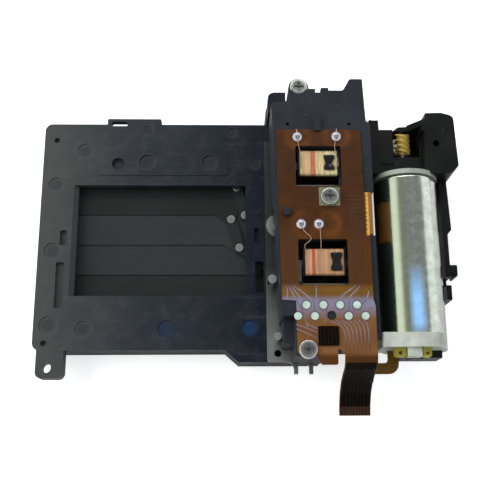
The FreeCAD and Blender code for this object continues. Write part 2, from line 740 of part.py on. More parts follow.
def cam_gear():
    """Cam gear with the charge cam under it."""
    ix, iy = idler_centre()
    to_idler = math.degrees(math.atan2(iy - CAM_Y, ix - CAM_X))
    wheel = gear(CAM_TEETH, CAM_GEAR_Z, CAM_GEAR_Z + CAM_GEAR_T, CAM_X, CAM_Y, to_idler + 180.0 / CAM_TEETH)
    steps = 36
    points = []
    for step in range(steps):
        angle = 360.0 * step / steps
        rise = CAM_LIFT * (0.5 - 0.5 * math.cos(math.radians(angle))) ** 1.5
        x, y = polar(CAM_BASE_R + rise, angle - 100.0)
        points.append(V(CAM_X + x, CAM_Y + y, CAM_Z))
    curve = Part.BSplineCurve()
    curve.interpolate(points, PeriodicFlag=True)
    cam = Part.Face(Part.Wire([curve.toShape()])).extrude(V(0, 0, CAM_T))
    collar = disc(CAM_X, CAM_Y, 1.4, CAM_Z + CAM_T - 0.01, CAM_GEAR_Z + 0.01)
    hub = disc(CAM_X, CAM_Y, 1.3, CAM_GEAR_Z + CAM_GEAR_T, CAM_GEAR_Z + CAM_GEAR_T + 0.4)
    lightening = [disc(CAM_X + x, CAM_Y + y, 0.8, CAM_GEAR_Z + 0.6, Z_TOP)
                  for x, y in (polar(2.9, a) for a in range(0, 360, 60))]
    whole = join([wheel, cam, collar, hub])
    return less(whole, lightening + [disc(CAM_X, CAM_Y, SHAFT_R + FIT, 0, Z_TOP)])


def charge_lever():
    """Lever that the cam pushes and that drives the slider."""
    px, py = CHARGE_PIVOT
    tx, ty = polar(CHARGE_ARM, CHARGE_REST)
    fx, fy = polar(CHARGE_FOLLOWER, CHARGE_REST)
    z0, z1 = CHARGE_Z, CHARGE_Z + CHARGE_T
    parts = [
        disc(px, py, 1.4, z0, z1),
        bar(px, py, px + fx, py + fy, 0.75, z0, z1),
        disc(px + fx, py + fy, 0.9, z0, z1),
        bar(px + fx, py + fy, px + tx, py + ty, 0.5, z0, z1),
        disc(px + tx, py + ty, 0.65, z0, z1),
    ]
    return less(join(parts), [disc(px, py, SHAFT_R + FIT, 0, Z_TOP)])


def charge_slider():
    """Slider with one nose for each drive lever and two guide slots."""
    z0, z1 = CHARGE_Z, CHARGE_Z + CHARGE_T
    parts = [rectangle(SLIDER_LEFT, SLIDER_RIGHT, SLIDER_BOTTOM, SLIDER_TOP, z0, z1, 0.4)]
    rise = CHARGE_PIN_RAD * math.sin(math.radians(TURN / 2)) + CHARGE_PIN_R + 0.1
    for sign in (-1, 1):
        y = sign * MAIN_Y + rise
        parts.append(rectangle(SLIDER_NOSE_LEFT, SLIDER_LEFT + 0.6, y, y + NOSE_H, z0, z1, 0.25))
    cutters = []
    for x, y in guide_pins():
        cutters.append(bar(x, y, x, y + SLIDER_STROKE + 0.1, GUIDE_R + 0.05, 0, Z_TOP))
    tip_y = CHARGE_PIVOT[1] + polar(CHARGE_ARM, CHARGE_REST)[1]
    cutters.append(rectangle(SLIDER_LEFT - 1, SLIDER_LEFT + 1.45, tip_y - 0.8, tip_y + 0.8, 0, Z_TOP, 0.2))
    return less(join(parts), cutters)


def axle_pins():
    """Fixed pins of the charge train."""
    ix, iy = idler_centre()
    tops = [IDLER_Z + GEAR_FACE + 0.5, CAM_GEAR_Z + CAM_GEAR_T + 0.8, CHARGE_Z + CHARGE_T + 0.05,
            CHARGE_Z + CHARGE_T, CHARGE_Z + CHARGE_T]
    return [disc(x, y, r, Z_FRONT, top) for (x, y, r), top in zip(fixed_axles(), tops)]


def drive_lever(sign):
    """Drive lever on its shaft, with charge pin, armature bracket and hub."""
    x, y = MAIN_X, sign * MAIN_Y
    arm_bottom = front_level(-1)
    foot = arm_bottom - 0.1 if sign < 0 else 2 * Z_MIDDLE - arm_bottom - ARM_T - 0.05
    shaft = disc(x, y, MAIN_SHAFT_R, foot, LEVER_Z)
    hub = disc(x, y, HUB_OUT_R, Z_STEEL + 0.1, HUB_TOP)
    px, py = polar(CHARGE_PIN_RAD, -TURN / 2)
    z0, z1 = LEVER_Z, LEVER_Z + LEVER_T
    arms = [bar(x, y, x + px, y + py, 1.1, z0, z1)]
    pin = disc(x + px, y + py, CHARGE_PIN_R, CHARGE_PIN_Z, z0)
    bx0, bx1, by0, by1 = bracket_box(sign)
    reach_x = (bx0 + bx1) / 2
    reach_y = (by0 + by1) / 2
    arms.append(bar(x, y, reach_x + (0.3 if sign > 0 else -0.3), reach_y, 0.9, z0, z1))
    bracket = box(bx0, bx1, by0, by1, z0, MAGNET_Z + ARMATURE_H / 2)
    return join([shaft, hub, pin, bracket] + arms)


def bracket_box(sign):
    """Upright of the drive lever that carries the armature, outside the poles."""
    pole = pole_face(sign)
    x, y = MAIN_X, sign * MAIN_Y
    if sign < 0:
        left = pole + POLE_GAP + ARMATURE_T
        return left, left + 0.6, y - 3.9, y - 1.7
    right = pole - POLE_GAP - ARMATURE_T
    return right - 0.6, right, y + 1.3, y + 3.5


def pole_face(sign):
    """X of the pole faces: the lower magnet opens to the right, the upper one to the left."""
    if sign < 0:
        return LOWER_COIL_LEFT + COIL_LEN + BOBBIN_FLANGE + 0.85
    return UPPER_COIL_LEFT - BOBBIN_FLANGE - 0.55


def armature(sign):
    """Iron bar that the magnet holds."""
    face = pole_face(sign)
    z0, z1 = MAGNET_Z - ARMATURE_H / 2, MAGNET_Z + ARMATURE_H / 2
    if sign < 0:
        x0 = face + POLE_GAP
        return box(x0, x0 + ARMATURE_T, LOWER_SECOND_LEG_Y - CORE / 2 + 0.2, -MAIN_Y - 0.8, z0, z1)
    x1 = face - POLE_GAP
    return box(x1 - ARMATURE_T, x1, MAIN_Y, UPPER_COIL_Y + 0.2, z0, z1)


def magnet_values(sign):
    """Left end and height of the coil, and height of the second leg."""
    if sign < 0:
        return LOWER_COIL_LEFT, LOWER_COIL_Y, LOWER_SECOND_LEG_Y
    return UPPER_COIL_LEFT, UPPER_COIL_Y, UPPER_SECOND_LEG_Y


def yoke(sign):
    """U-shaped iron yoke: one leg runs through the coil."""
    left, coil_y, leg_y = magnet_values(sign)
    face = pole_face(sign)
    h = CORE / 2
    z0, z1 = MAGNET_Z - h, MAGNET_Z + h
    back = left - BOBBIN_FLANGE - 0.1 if sign < 0 else left + COIL_LEN + BOBBIN_FLANGE + 0.1
    outer = back - CORE if sign < 0 else back + CORE
    x0, x1 = min(back, outer), max(back, outer)
    y0, y1 = min(coil_y, leg_y) - h, max(coil_y, leg_y) + h
    bars = [box(x0, x1, y0, y1, z0, z1)]
    for y in (coil_y, leg_y):
        bars.append(box(min(face, back), max(face, back), y - h, y + h, z0, z1))
    return join(bars)


def bobbin(sign):
    """Moulded bobbin with two flanges and a square way for the core."""
    left, y, _ = magnet_values(sign)
    half = COIL_H / 2 + 0.15
    core = BOBBIN_CORE / 2
    way = CORE / 2 + 0.05
    parts = [box(left, left + COIL_LEN, y - core, y + core, MAGNET_Z - core, MAGNET_Z + core)]
    for x in (left - BOBBIN_FLANGE, left + COIL_LEN):
        flange = box(x, x + BOBBIN_FLANGE, y - half, y + half, MAGNET_Z - half, MAGNET_Z + half)
        parts.append(flange)
    hole = box(left - 2, left + COIL_LEN + 2, y - way, y + way, MAGNET_Z - way, MAGNET_Z + way)
    return less(join(parts), [hole])


def coil(sign):
    """Wound copper coil with rounded edges."""
    left, y, _ = magnet_values(sign)
    h = COIL_H / 2
    body = rectangle(-h, h, -h, h, 0, COIL_LEN, COIL_R)
    body.rotate(V(0, 0, 0), V(0, 1, 0), 90)
    body.translate(V(left, y, MAGNET_Z))
    core = BOBBIN_CORE / 2
    return less(body, [box(left - 1, left + COIL_LEN + 1, y - core, y + core, MAGNET_Z - core, MAGNET_Z + core)])


def spring(sign):
    """Drive spring: a short helix of round wire around the lever's hub."""
    pitch = SPRING_WIRE_R * 2 + SPRING_GAP
    sections = []
    steps = int(SPRING_TURNS * SPRING_STEPS)
    for step in range(steps + 1):
        ring = []
        for side in range(SPRING_SIDES):
            dx, dz = polar(SPRING_WIRE_R, 360.0 * side / SPRING_SIDES)
            ring.append(V(SPRING_MEAN_R + dx, 0, dz))
        wire = Part.makePolygon(ring + ring[:1])
        wire.rotate(V(0, 0, 0), V(0, 0, 1), 360.0 * step / SPRING_STEPS)
        wire.translate(V(MAIN_X, sign * MAIN_Y, SPRING_Z + SPRING_WIRE_R + pitch * step / SPRING_STEPS))
        sections.append(wire)
    return Part.makeLoft(sections, True, True)


def mechanism_cover():
    """Moulded box over the mechanism, with coil windows, screw bosses and a clip for the board."""
    left_top, left_low, step_x = 22.05, 23.2, 25.4
    points = [
        (left_top, 21.6, 0.6), (step_x - 0.3, 21.9), (step_x - 0.3, 24.2, 0.2), (29.7, 24.2),
        (29.7, 23.5), (30.7, 23.5), (30.7, 24.4), (32.0, 24.4), (32.0, 23.9), (34.5, 23.9, 0.6),
        (35.7, 26.1, 0.5), (37.9, 26.1, 0.2), (38.2, 18.3), (COVER_RIGHT, 17.6), (COVER_RIGHT, STEP_BOTTOM, 0.3),
        (STEP_LEFT, STEP_BOTTOM, 0.3), (STEP_LEFT, COVER_BOTTOM, 0.3), (step_x, COVER_BOTTOM, 0.3), (step_x, -15.5), (left_low + 0.1, -15.5, 0.3), (left_low - 0.1, -8.9),
    ]
    body = sheet(points, Z_STEEL, Z_TOP)
    boss_a = disc(*SCREW_A, 1.75, Z_STEEL, Z_TOP - SCREW_HEAD_T)
    post = rectangle(23.65, 25.6, -19.6, -15.3, Z_STEEL, 13.0, 0.3)
    body = join([body, boss_a, post])
    inner = [
        (left_top + WALL, 21.6 - WALL, 0.3), (step_x + 0.6, 21.6 - WALL), (step_x + 3.6, 22.7),
        (36.6, 22.7), (37.3, 18.3), (COVER_RIGHT - SIDE_WALL, 17.5),
        (COVER_RIGHT - SIDE_WALL, STEP_BOTTOM + WALL, 0.3), (STEP_LEFT + WALL, STEP_BOTTOM + WALL),
        (STEP_LEFT + WALL, -15.5 + WALL), (left_low + WALL + 0.1, -15.5 + WALL, 0.3),
        (left_low + WALL - 0.1, -8.9),
    ]
    cutters = [sheet(inner, Z_STEEL - 1, Z_TOP - COVER_TOP_T)]
    for x0, x1, y0, y1 in (WINDOW_1, WINDOW_2):
        cutters.append(rectangle(x0, x1, y0, y1, Z_TOP - 3, Z_TOP + 1, 0.3))
    # Side opening for the ratchet wheel, the gear train's way out, and the recess for head A.
    cutters.append(box(left_top - 2, left_top + 3, RATCHET[1] - 3.2, RATCHET[1] + 3.2, Z_STEEL - 1, Z_STEEL + 2.2))
    cutters.append(box(COVER_RIGHT - 2, COVER_RIGHT + 2, 12.9, 21.0, IDLER_PINION_Z - 0.3, IDLER_Z + GEAR_FACE + 0.7))
    cutters.append(disc(*SCREW_A, SCREW_HEAD_R + 0.15, Z_TOP - SCREW_HEAD_T, Z_TOP + 1))
    cutters.append(disc(*idler_centre(), SHAFT_R + 0.1, Z_STEEL - 1, IDLER_PINION_Z))
    cutters.append(box(COVER_RIGHT - FOLD_RECESS, COVER_RIGHT + 1, FOLD_LOW - 0.2, FOLD_HIGH + 0.2,
                       Z_TOP - FOLD_DROP - 0.3, Z_TOP + 1))
    body = less(body, cutters)
    boss_b = disc(*SCREW_B, 1.15, Z_TOP - COVER_TOP_T - 2.6, Z_TOP - 0.5)
    boss_magnets = [box(x0, x1, y0, y1, MAGNET_Z + CORE / 2, Z_TOP - 0.5) for x0, x1, y0, y1 in yoke_pads()]
    body = join([body, boss_b] + boss_magnets)
    holes = [disc(*SCREW_B, SCREW_SHANK_R + PILOT_FIT, Z_TOP - 3.4, Z_TOP + 1)]
    holes += [disc(*point, SCREW_SHANK_R + PILOT_FIT, Z_STEEL - 1, Z_TOP + 1) for point in (SCREW_A, SCREW_C)]
    for x in (24.8, 35.3):
        holes.append(disc(x, 17.6, 0.28, Z_TOP - 1.5, Z_TOP + 1))
    body = less(body, holes)
    clip = box(29.2, 30.4, FLEX_TOP + 0.1, 18.6, Z_TOP - 0.2, Z_TOP + 0.55)
    hook = box(29.2, 30.4, FLEX_TOP - 0.3, FLEX_TOP + 0.1, Z_TOP + FLEX_T + 0.02, Z_TOP + 0.55)
    pin = disc(*FLEX_PIN, 0.7, Z_TOP - 0.2, Z_TOP + 0.75)
    return join([body, clip, hook, pin])


FLEX_PIN = (24.35, 1.75)


def yoke_pads():
    """Pads inside the cover that the two yokes hang from."""
    pads = []
    for sign in (-1, 1):
        left, coil_y, leg_y = magnet_values(sign)
        back = left - BOBBIN_FLANGE - 0.1 if sign < 0 else left + COIL_LEN + BOBBIN_FLANGE + 0.1
        outer = back - CORE if sign < 0 else back + CORE
        y0 = min(coil_y, leg_y)
        pads.append((min(back, outer), max(back, outer), y0 - CORE / 2, y0 + CORE / 2))
    return pads


def screw(x, y, top):
    """Pan-head screw with a cross recess."""
    head = disc(x, y, SCREW_HEAD_R, top, top + SCREW_HEAD_T * 0.7)
    head = head.makeFillet(0.3, [head.Edges[0]])
    shank = disc(x, y, SCREW_SHANK_R, top - SCREW_LEN, top)
    whole = join([head, shank])
    cross = [box(x - 0.85, x + 0.85, y - 0.16, y + 0.16, top + 0.25, top + 2),
             box(x - 0.16, x + 0.16, y - 0.85, y + 0.85, top + 0.25, top + 2)]
    return less(whole, cross)


def cover_screws():
    """The three screws in the picture."""
    board_top = Z_TOP + FLEX_T
    return [screw(*SCREW_A, Z_TOP - SCREW_HEAD_T), screw(*SCREW_B, board_top + WASHER_T), screw(*SCREW_C, board_top)]


WASHER_T = 0.15


def washer_plate():
    """Square washer under the middle screw."""
    x, y = SCREW_B
    body = rectangle(x - 1.75, x + 1.75, y - 1.55, y + 1.65, Z_TOP + FLEX_T, Z_TOP + FLEX_T + WASHER_T, 0.2)
    return less(body, [disc(x, y, SCREW_SHANK_R + PILOT_FIT, 0, Z_TOP + 2)])


def rear_screws():
    """Countersunk screws that hold the rear cover, one to each corner post."""
    made = []
    for x, y in REAR_SCREWS:
        head = disc(x, y, REAR_HEAD_R, 0, REAR_HEAD_T)
        shank = disc(x, y, REAR_SCREW_R, REAR_HEAD_T, REAR_SCREW_LEN)
        made.append(join([head, shank]))
    return made


def ribbon(points, thickness, width, x0):
    """Bent strip: its side profile is given in Y and Z and runs on for a width along X."""
    upper = []
    for i, (y, z) in enumerate(points):
        before = points[max(i - 1, 0)]
        after = points[min(i + 1, len(points) - 1)]
        dy, dz = after[0] - before[0], after[1] - before[1]
        size = math.hypot(dy, dz)
        upper.append((y - dz / size * thickness, z + dy / size * thickness))
    ring = [V(x0, y, z) for y, z in points] + [V(x0, y, z) for y, z in reversed(upper)]
    face = Part.Face(Part.makePolygon(ring + ring[:1]))
    return face.extrude(V(width, 0, 0))


def tail_path():
    """Side profile of the tail: level, down the end of the box, then out to the connector end."""
    return [(TAIL_END, TAIL_Z), (-29.0, TAIL_Z + 0.35), (-27.0, TAIL_Z + 1.5), (-25.4, TAIL_Z + 3.6),
            (-24.4, TAIL_Z + 6.0), (-23.7, TAIL_Z + 8.2), (-22.9, Z_TOP - 0.3), (-22.2, Z_TOP), (-21.0, Z_TOP)]


def flex_board():
    """Flexible circuit board: face, folded side branch, tongue, tail and motor branch."""
    z0, z1 = Z_TOP, Z_TOP + FLEX_T
    face = sheet(
        [(22.75, FLEX_TOP, 0.4), (37.1, FLEX_TOP, 0.3), (37.35, FOLD_LOW, 0.2), (38.0, FOLD_LOW), (38.0, -13.0),
         (TAIL_RIGHT, -14.0), (TAIL_RIGHT, -21.6), (TAIL_LEFT - 0.5, -21.6), (TAIL_LEFT - 0.5, -20.9, 0.25),
         (32.0, -20.9, 0.25), (32.0, -23.4, 0.3), (29.4, -23.4, 0.3), (28.6, -21.9, 0.4), (25.6, -21.8, 0.5),
         (25.6, -13.1, 0.3), (23.35, -13.0, 0.2), (23.1, -1.5)],
        z0, z1,
    )
    wall = COVER_RIGHT - FOLD_RECESS
    side = box(37.2, wall, FOLD_LOW, FOLD_HIGH, z0, z1)
    fold = box(wall, wall + FLEX_T, FOLD_LOW, FOLD_HIGH, Z_TOP - FOLD_DROP, z0)
    bend = Part.makeCylinder(FLEX_T, FOLD_HIGH - FOLD_LOW, V(wall, FOLD_LOW, z0), V(0, 1, 0), 90)
    tail = ribbon(tail_path(), FLEX_T, TAIL_RIGHT - TAIL_LEFT, TAIL_LEFT)
    branch_z = TAIL_Z + 4.3
    branch = sheet(
        [(TAIL_RIGHT - 0.6, -24.3), (42.6, -24.3, 1.7), (42.6, CAP_BOTTOM), (40.8, CAP_BOTTOM),
         (40.8, -22.5, 0.6), (TAIL_RIGHT - 0.6, -22.5)],
        branch_z, branch_z + FLEX_T,
    )
    lead_in = box(TAIL_RIGHT - 0.6, TAIL_RIGHT, -25.6, -22.5, branch_z, branch_z + FLEX_T)
    body = join([face, side, fold, bend, tail, branch, lead_in])
    cutters = []
    for x0, x1, y0, y1 in (WINDOW_1, WINDOW_2):
        cutters.append(rectangle(x0, x1, y0, y1, z0 - 1, z1 + 1, 0.3))
    cutters.append(disc(*FLEX_PIN, 0.75, z0 - 1, z1 + 1))
    cutters.append(disc(*SCREW_B, SCREW_SHANK_R + 0.1, z0 - 1, z1 + 1))
    cutters.append(disc(*SCREW_C, SCREW_SHANK_R + 0.1, z0 - 1, z1 + 1))
    cutters.append(disc(31.2, PAD_Y_LOWER + 0.1, 0.75, z0 - 1, z1 + 1))
    return less(body, cutters)


def test_pads():
    """Two rows of round test pads."""
    z0 = Z_TOP + FLEX_T
    upper = [(27.2 + PAD_PITCH * i, PAD_Y_UPPER) for i in range(4)]
    lower = [(25.8 + PAD_PITCH * i, PAD_Y_LOWER) for i in (0, 1, 3, 4)]
    return [disc(x, y, PAD_R, z0, z0 + PAD_T) for x, y in upper + lower]


SOLDER = [(26.4, 15.2), (33.0, 15.3), (26.7, -0.25), (29.6, -0.25)]


def solder_joints():
    """Solder domes where the coil leads end."""
    made = []
    z0 = Z_TOP + FLEX_T
    for x, y in SOLDER:
        radius = (SOLDER_R ** 2 + SOLDER_H ** 2) / (2 * SOLDER_H)
        ball = Part.makeSphere(radius, V(x, y, z0 + SOLDER_H - radius))
        made.append(ball.common(box(x - 2, x + 2, y - 2, y + 2, z0, z0 + 2)))
    return made


def stiffeners():
    """Dark backing pieces on the board and on the tail."""
    z0 = Z_TOP + FLEX_T
    patch = rectangle(28.95, 32.2, -20.4, -17.3, z0, z0 + STIFFENER_T, 0.2)
    boss = disc(30.9, -19.9, 0.5, z0 + STIFFENER_T, z0 + STIFFENER_T + 0.2)
    path = tail_path()
    width = TAIL_RIGHT - TAIL_LEFT
    strip = ribbon(path[1:7], FLEX_T + TAIL_STIFFENER_T, width - 0.4, TAIL_LEFT + 0.2)
    strip = strip.cut(ribbon(path, FLEX_T, width, TAIL_LEFT))
    return [join([patch, boss]), strip]


def contacts():
    """Contact fingers at the end of the tail."""
    made = []
    middle = (TAIL_LEFT + TAIL_RIGHT) / 2
    first, second = tail_path()[0], tail_path()[1]
    tilt = math.atan2(second[1] - first[1], second[0] - first[0])
    for i in range(CONTACT_COUNT):
        x = middle + (i - (CONTACT_COUNT - 1) / 2) * CONTACT_PITCH
        length = min(CONTACT_LEN, math.hypot(second[1] - first[1], second[0] - first[0]))
        finger = box(x - CONTACT_W / 2, x + CONTACT_W / 2, 0, length, 0, CONTACT_T)
        finger.rotate(V(x, 0, 0), V(1, 0, 0), math.degrees(tilt))
        finger.translate(V(0, first[0] - FLEX_T * math.sin(tilt), first[1] + FLEX_T * math.cos(tilt)))
        made.append(finger)
    return made


def across(r, y0, y1):
    """Cylinder on the motor axis."""
    return Part.makeCylinder(r, y1 - y0, V(MOTOR_X, y0, MOTOR_Z), V(0, 1, 0))


def motor_can():
    """Drawn steel can with a rolled upper edge and a bearing hole."""
    body = across(MOTOR_R, MOTOR_BOTTOM, MOTOR_TOP)
    body = body.makeFillet(0.6, [e for e in body.Edges if abs(e.BoundBox.YMin - MOTOR_TOP) < 0.01])
    return less(body, [across(MOTOR_SHAFT_R + FIT, MOTOR_TOP - 4.0, MOTOR_TOP + 1)])


def end_cap():
    """White moulded end cap: a round flange and a flat block towards the front."""
    flange = across(MOTOR_R, CAP_BOTTOM, MOTOR_BOTTOM)
    block = Part.makeBox(CAP_RIGHT - CAP_LEFT, MOTOR_BOTTOM - CAP_BOTTOM, 7.0, V(CAP_LEFT, CAP_BOTTOM, 8.4))
    block = block.makeFillet(0.6, [e for e in block.Edges if abs(e.BoundBox.YLength - (MOTOR_BOTTOM - CAP_BOTTOM)) < 0.01])
    middle = box(43.3, 45.6, CAP_BOTTOM - 1.5, CAP_BOTTOM, 13.0, 14.9)
    return join([flange, block, middle])


def motor_rear_cover():
    """Black bearing cover behind the end cap."""
    plate = rectangle(43.2, 49.8, CAP_BOTTOM - 1.2, CAP_BOTTOM, 6.6, MOTOR_Z + 0.8)
    return join([across(2.6, CAP_BOTTOM - 0.8, CAP_BOTTOM), across(1.4, CAP_BOTTOM - 1.4, CAP_BOTTOM), plate])


def terminals():
    """Two solder lugs of the motor."""
    made = []
    for x0, x1 in ((41.2, 43.1), (45.8, 47.2)):
        lug = rectangle(x0, x1, CAP_BOTTOM - 1.5, CAP_BOTTOM, 13.4, 14.6, 0.3)
        made.append(less(lug, [disc((x0 + x1) / 2, CAP_BOTTOM - 0.85, 0.3, 12, 16)]))
    return made


def gasket():
    """Grey ring plate between motor and gearbox."""
    ring = across(MOTOR_R + 0.15, MOTOR_TOP, HOUSING_BOTTOM)
    return less(ring, [across(1.2, MOTOR_TOP - 1, HOUSING_BOTTOM + 1)])


def gearbox_housing():
    """Black moulded gearbox: the worm bay is open to the front."""
    low = sheet(
        [(39.2, HOUSING_BOTTOM), (48.9, HOUSING_BOTTOM), (48.9, 19.9), (47.6, 19.5), (46.3, 19.1),
         (44.7, 19.0), (42.9, 17.7), (39.2, 17.7)],
        Z_FRONT, HOUSING_TOP_LEVEL,
    )
    left_wall = box(39.2, 40.85, HOUSING_BOTTOM, 19.5, Z_FRONT, 13.2)
    wheel_roof = box(39.2, BAY_LEFT - 0.05, 11.4, 17.7, HOUSING_TOP_LEVEL, 13.2)
    tower = sheet(
        [(48.1, HOUSING_BOTTOM - 0.4, 0.2), (52.6, HOUSING_BOTTOM - 0.4), (54.0, 10.6), (53.7, 19.8, 1.0),
         (51.6, 20.4), (48.75, 20.3, 0.2)],
        0, BOX_LEVEL,
    )
    ramp_side = [V(46.2, 0, HOUSING_TOP_LEVEL - 0.1), V(48.8, 0, BOX_LEVEL), V(48.8, 0, HOUSING_TOP_LEVEL - 0.1)]
    ramp = Part.Face(Part.makePolygon(ramp_side + ramp_side[:1])).extrude(V(0, 2.1, 0))
    ramp.translate(V(0, BAY_TOP - 1.0, 0))
    band = box(40.85, 48.2, HOUSING_BOTTOM, BAY_BOTTOM, Z_FRONT, 13.0)
    body = join([low, left_wall, wheel_roof, tower, ramp, band])
    bay = box(BAY_LEFT - 0.05, BAY_RIGHT, BAY_BOTTOM, BAY_TOP, BAY_FLOOR, BOX_LEVEL + 1)
    motor_seat = across(MOTOR_R + 0.15 + 0.05, MOTOR_TOP - 1.0, HOUSING_BOTTOM)
    wheel_r = MODULE * (WHEEL_TEETH / 2 + ADDENDUM) + 0.25
    cavity = disc(WHEEL_X, WHEEL_Y, wheel_r, MOTOR_Z - WHEEL_FACE / 2 - 0.15, IDLER_Z + GEAR_FACE + 0.2)
    ix, iy = idler_centre()
    idler_r = MODULE * (IDLER_TEETH / 2 + ADDENDUM) + 0.3
    gear_way = disc(ix, iy, idler_r, IDLER_Z - 0.2, IDLER_Z + GEAR_FACE + 0.3)
    hole = disc(*HOUSING_HOLE, HOUSING_HOLE_R, BOX_LEVEL - HOUSING_HOLE_DEPTH, BOX_LEVEL + 1)
    shaft_way = across(MOTOR_SHAFT_R + FIT, HOUSING_BOTTOM - 1, 18.9)
    pinion_way = disc(ix, iy, MODULE * (PINION_TEETH / 2 + ADDENDUM) + 0.3, IDLER_PINION_Z - 0.3, IDLER_Z)
    cutters = [bay, motor_seat, cavity, gear_way, pinion_way, hole, shaft_way]
    return less(body, cutters)


def wheel_axle():
    """Fixed pin that the worm wheel turns on, pressed into the housing's floor."""
    return disc(WHEEL_X, WHEEL_Y, AXLE_R, MOTOR_Z - WHEEL_FACE / 2 - 0.15, IDLER_Z + GEAR_FACE + 0.15)


def motor_bracket():
    """Rail beside the motor, with its hook and foot."""
    rail = sheet(
        [(51.35, HOUSING_BOTTOM - 0.4), (52.6, HOUSING_BOTTOM - 0.4), (52.9, 0.2), (52.2, -0.6), (52.2, -12.0),
         (51.35, -12.0)],
        6.0, 11.0,
    )
    notch = box(51.0, 53.0, -9.5, -8.1, 8.0, 12.0)
    hook = rectangle(51.8, 53.4, -8.0, -6.0, 7.5, 11.0, 0.2)
    nick = rectangle(52.4, 52.9, -8.2, -7.2, 7.0, 12.0, 0.1)
    return less(join([rail, hook]), [notch, nick])


def leaf_spring():
    """Bright leaf beside the worm, screwed to the bay floor side of the tower."""
    x0, y0 = BAY_LEFT + 3.9, BAY_BOTTOM
    strip = box(x0 - 0.4, BAY_RIGHT, y0, y0 + 0.15, 9.6, 12.2)
    foot = box(BAY_RIGHT - 0.15, BAY_RIGHT, y0 + 0.15, y0 + 2.0, 9.6, 12.2)
    return join([strip, foot])


def ratchet_wheel():
    """Tension wheel with fine saw teeth on its stud."""
    x, y = RATCHET
    teeth = 28
    points = []
    for i in range(teeth):
        angle = 360.0 * i / teeth
        points.append(V(*polar(RATCHET_R, angle), 0))
        points.append(V(*polar(RATCHET_R - 0.18, angle + 2.0), 0))
    face = Part.Face(Part.makePolygon(points + points[:1]))
    face.translate(V(x, y, Z_STEEL))
    wheel = face.extrude(V(0, 0, RATCHET_T))
    cap = disc(x, y, 0.8, Z_STEEL + RATCHET_T, Z_STEEL + RATCHET_T + 0.5)
    slot = box(x - 1, x + 1, y - 0.15, y + 0.15, Z_STEEL + RATCHET_T + 0.2, Z_STEEL + 3)
    return less(join([wheel, cap]), [slot])


def spacers():
    """Bright posts riveted in the steel plate beside the cover."""
    low = disc(22.15, -8.2, SPACER_R, Z_STEEL, Z_STEEL + 4.0)
    post = disc(22.9, -17.9, SPACER_R - 0.1, Z_STEEL, Z_STEEL + 4.0)
    return [low, post]


def sub_arm_pin():
    """Pin through both chambers that the two sub arms turn on."""
    return disc(SUB_X, 0, SUB_PIN_R, 0, Z_FRONT - 0.3)


def main():
    """Build and write every node."""
    keep("base_plate", base_plate_with_posts())
    keep("rear_cover", rear_cover())
    keep("partition_plate", partition())
    curtain("first", 1)
    curtain("second", -1)
    keep("arm_buffers", buffers())
    keep("steel_plate", steel_plate())
    keep("mechanism_cover", mechanism_cover())
    for label, sign in (("first", -1), ("second", 1)):
        keep(label + "_drive_lever", drive_lever(sign))
        keep(label + "_armature", armature(sign))
        keep(label + "_drive_spring", spring(sign))
        keep(label + "_yoke", yoke(sign))
        keep(label + "_bobbin", bobbin(sign))
        keep(label + "_coil", coil(sign))
    keep("motor_shaft", across(MOTOR_SHAFT_R, MOTOR_TOP - 3.8, 18.7))
    keep("worm", worm())
    keep("worm_wheel", worm_wheel())
    keep("idler_gear", idler_gear())
    keep("cam_gear", cam_gear())
    keep("charge_lever", charge_lever())
    keep("charge_slider", charge_slider())
    keep("fixed_pins", axle_pins() + [wheel_axle(), sub_arm_pin()])
    keep("motor_can", motor_can())
    keep("motor_end_cap", end_cap())
    keep("motor_rear_cover", motor_rear_cover())
    keep("motor_terminals", terminals())
    keep("motor_gasket", gasket())
    keep("gearbox_housing", gearbox_housing())
    keep("motor_bracket", motor_bracket())
    keep("leaf_spring", leaf_spring())
    keep("ratchet_wheel", ratchet_wheel())
    keep("spacer_posts", spacers())
    keep("flex_board", flex_board())
    keep("solder_joints", solder_joints())
    keep("board_stiffener", stiffeners())
    keep("board_contacts", test_pads() + contacts())
    keep("cover_screws", cover_screws())
    keep("washer_plate", washer_plate())
    keep("rear_screws", rear_screws())


def base_plate_with_posts():
    """Base plate and the corner posts that take the rear cover's screws."""
    posts = [disc(x, y, REAR_POST_R, REAR_COVER_T, Z_WEB + 0.1) for x, y in REAR_SCREWS]
    holes = [disc(x, y, REAR_SCREW_R + PILOT_FIT, 0, REAR_SCREW_LEN) for x, y in REAR_SCREWS]
    return less(join([base_plate()] + posts), holes)


main()
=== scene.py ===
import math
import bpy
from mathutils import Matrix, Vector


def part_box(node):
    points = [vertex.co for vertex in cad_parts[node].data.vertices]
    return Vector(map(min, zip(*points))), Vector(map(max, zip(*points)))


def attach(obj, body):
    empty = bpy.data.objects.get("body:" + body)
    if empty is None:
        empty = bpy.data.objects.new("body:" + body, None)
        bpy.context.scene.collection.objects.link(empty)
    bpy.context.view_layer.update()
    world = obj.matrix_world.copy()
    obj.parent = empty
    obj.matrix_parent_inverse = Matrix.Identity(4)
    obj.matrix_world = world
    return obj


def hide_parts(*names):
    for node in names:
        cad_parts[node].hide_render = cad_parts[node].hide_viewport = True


bl_info = {
    "name": "Focal-plane shutter assembly",
    "version": (1, 0, 0),
    "blender": (4, 5, 0),
    "location": "3D View > Sidebar > Shutter",
    "description": "Dresses the packed shutter assembly and sets its studio",
    "category": "Object",
}

import bpy
from bpy.props import FloatProperty, FloatVectorProperty, PointerProperty
from bpy.types import Operator, Panel, PropertyGroup
from mathutils import Matrix, Vector

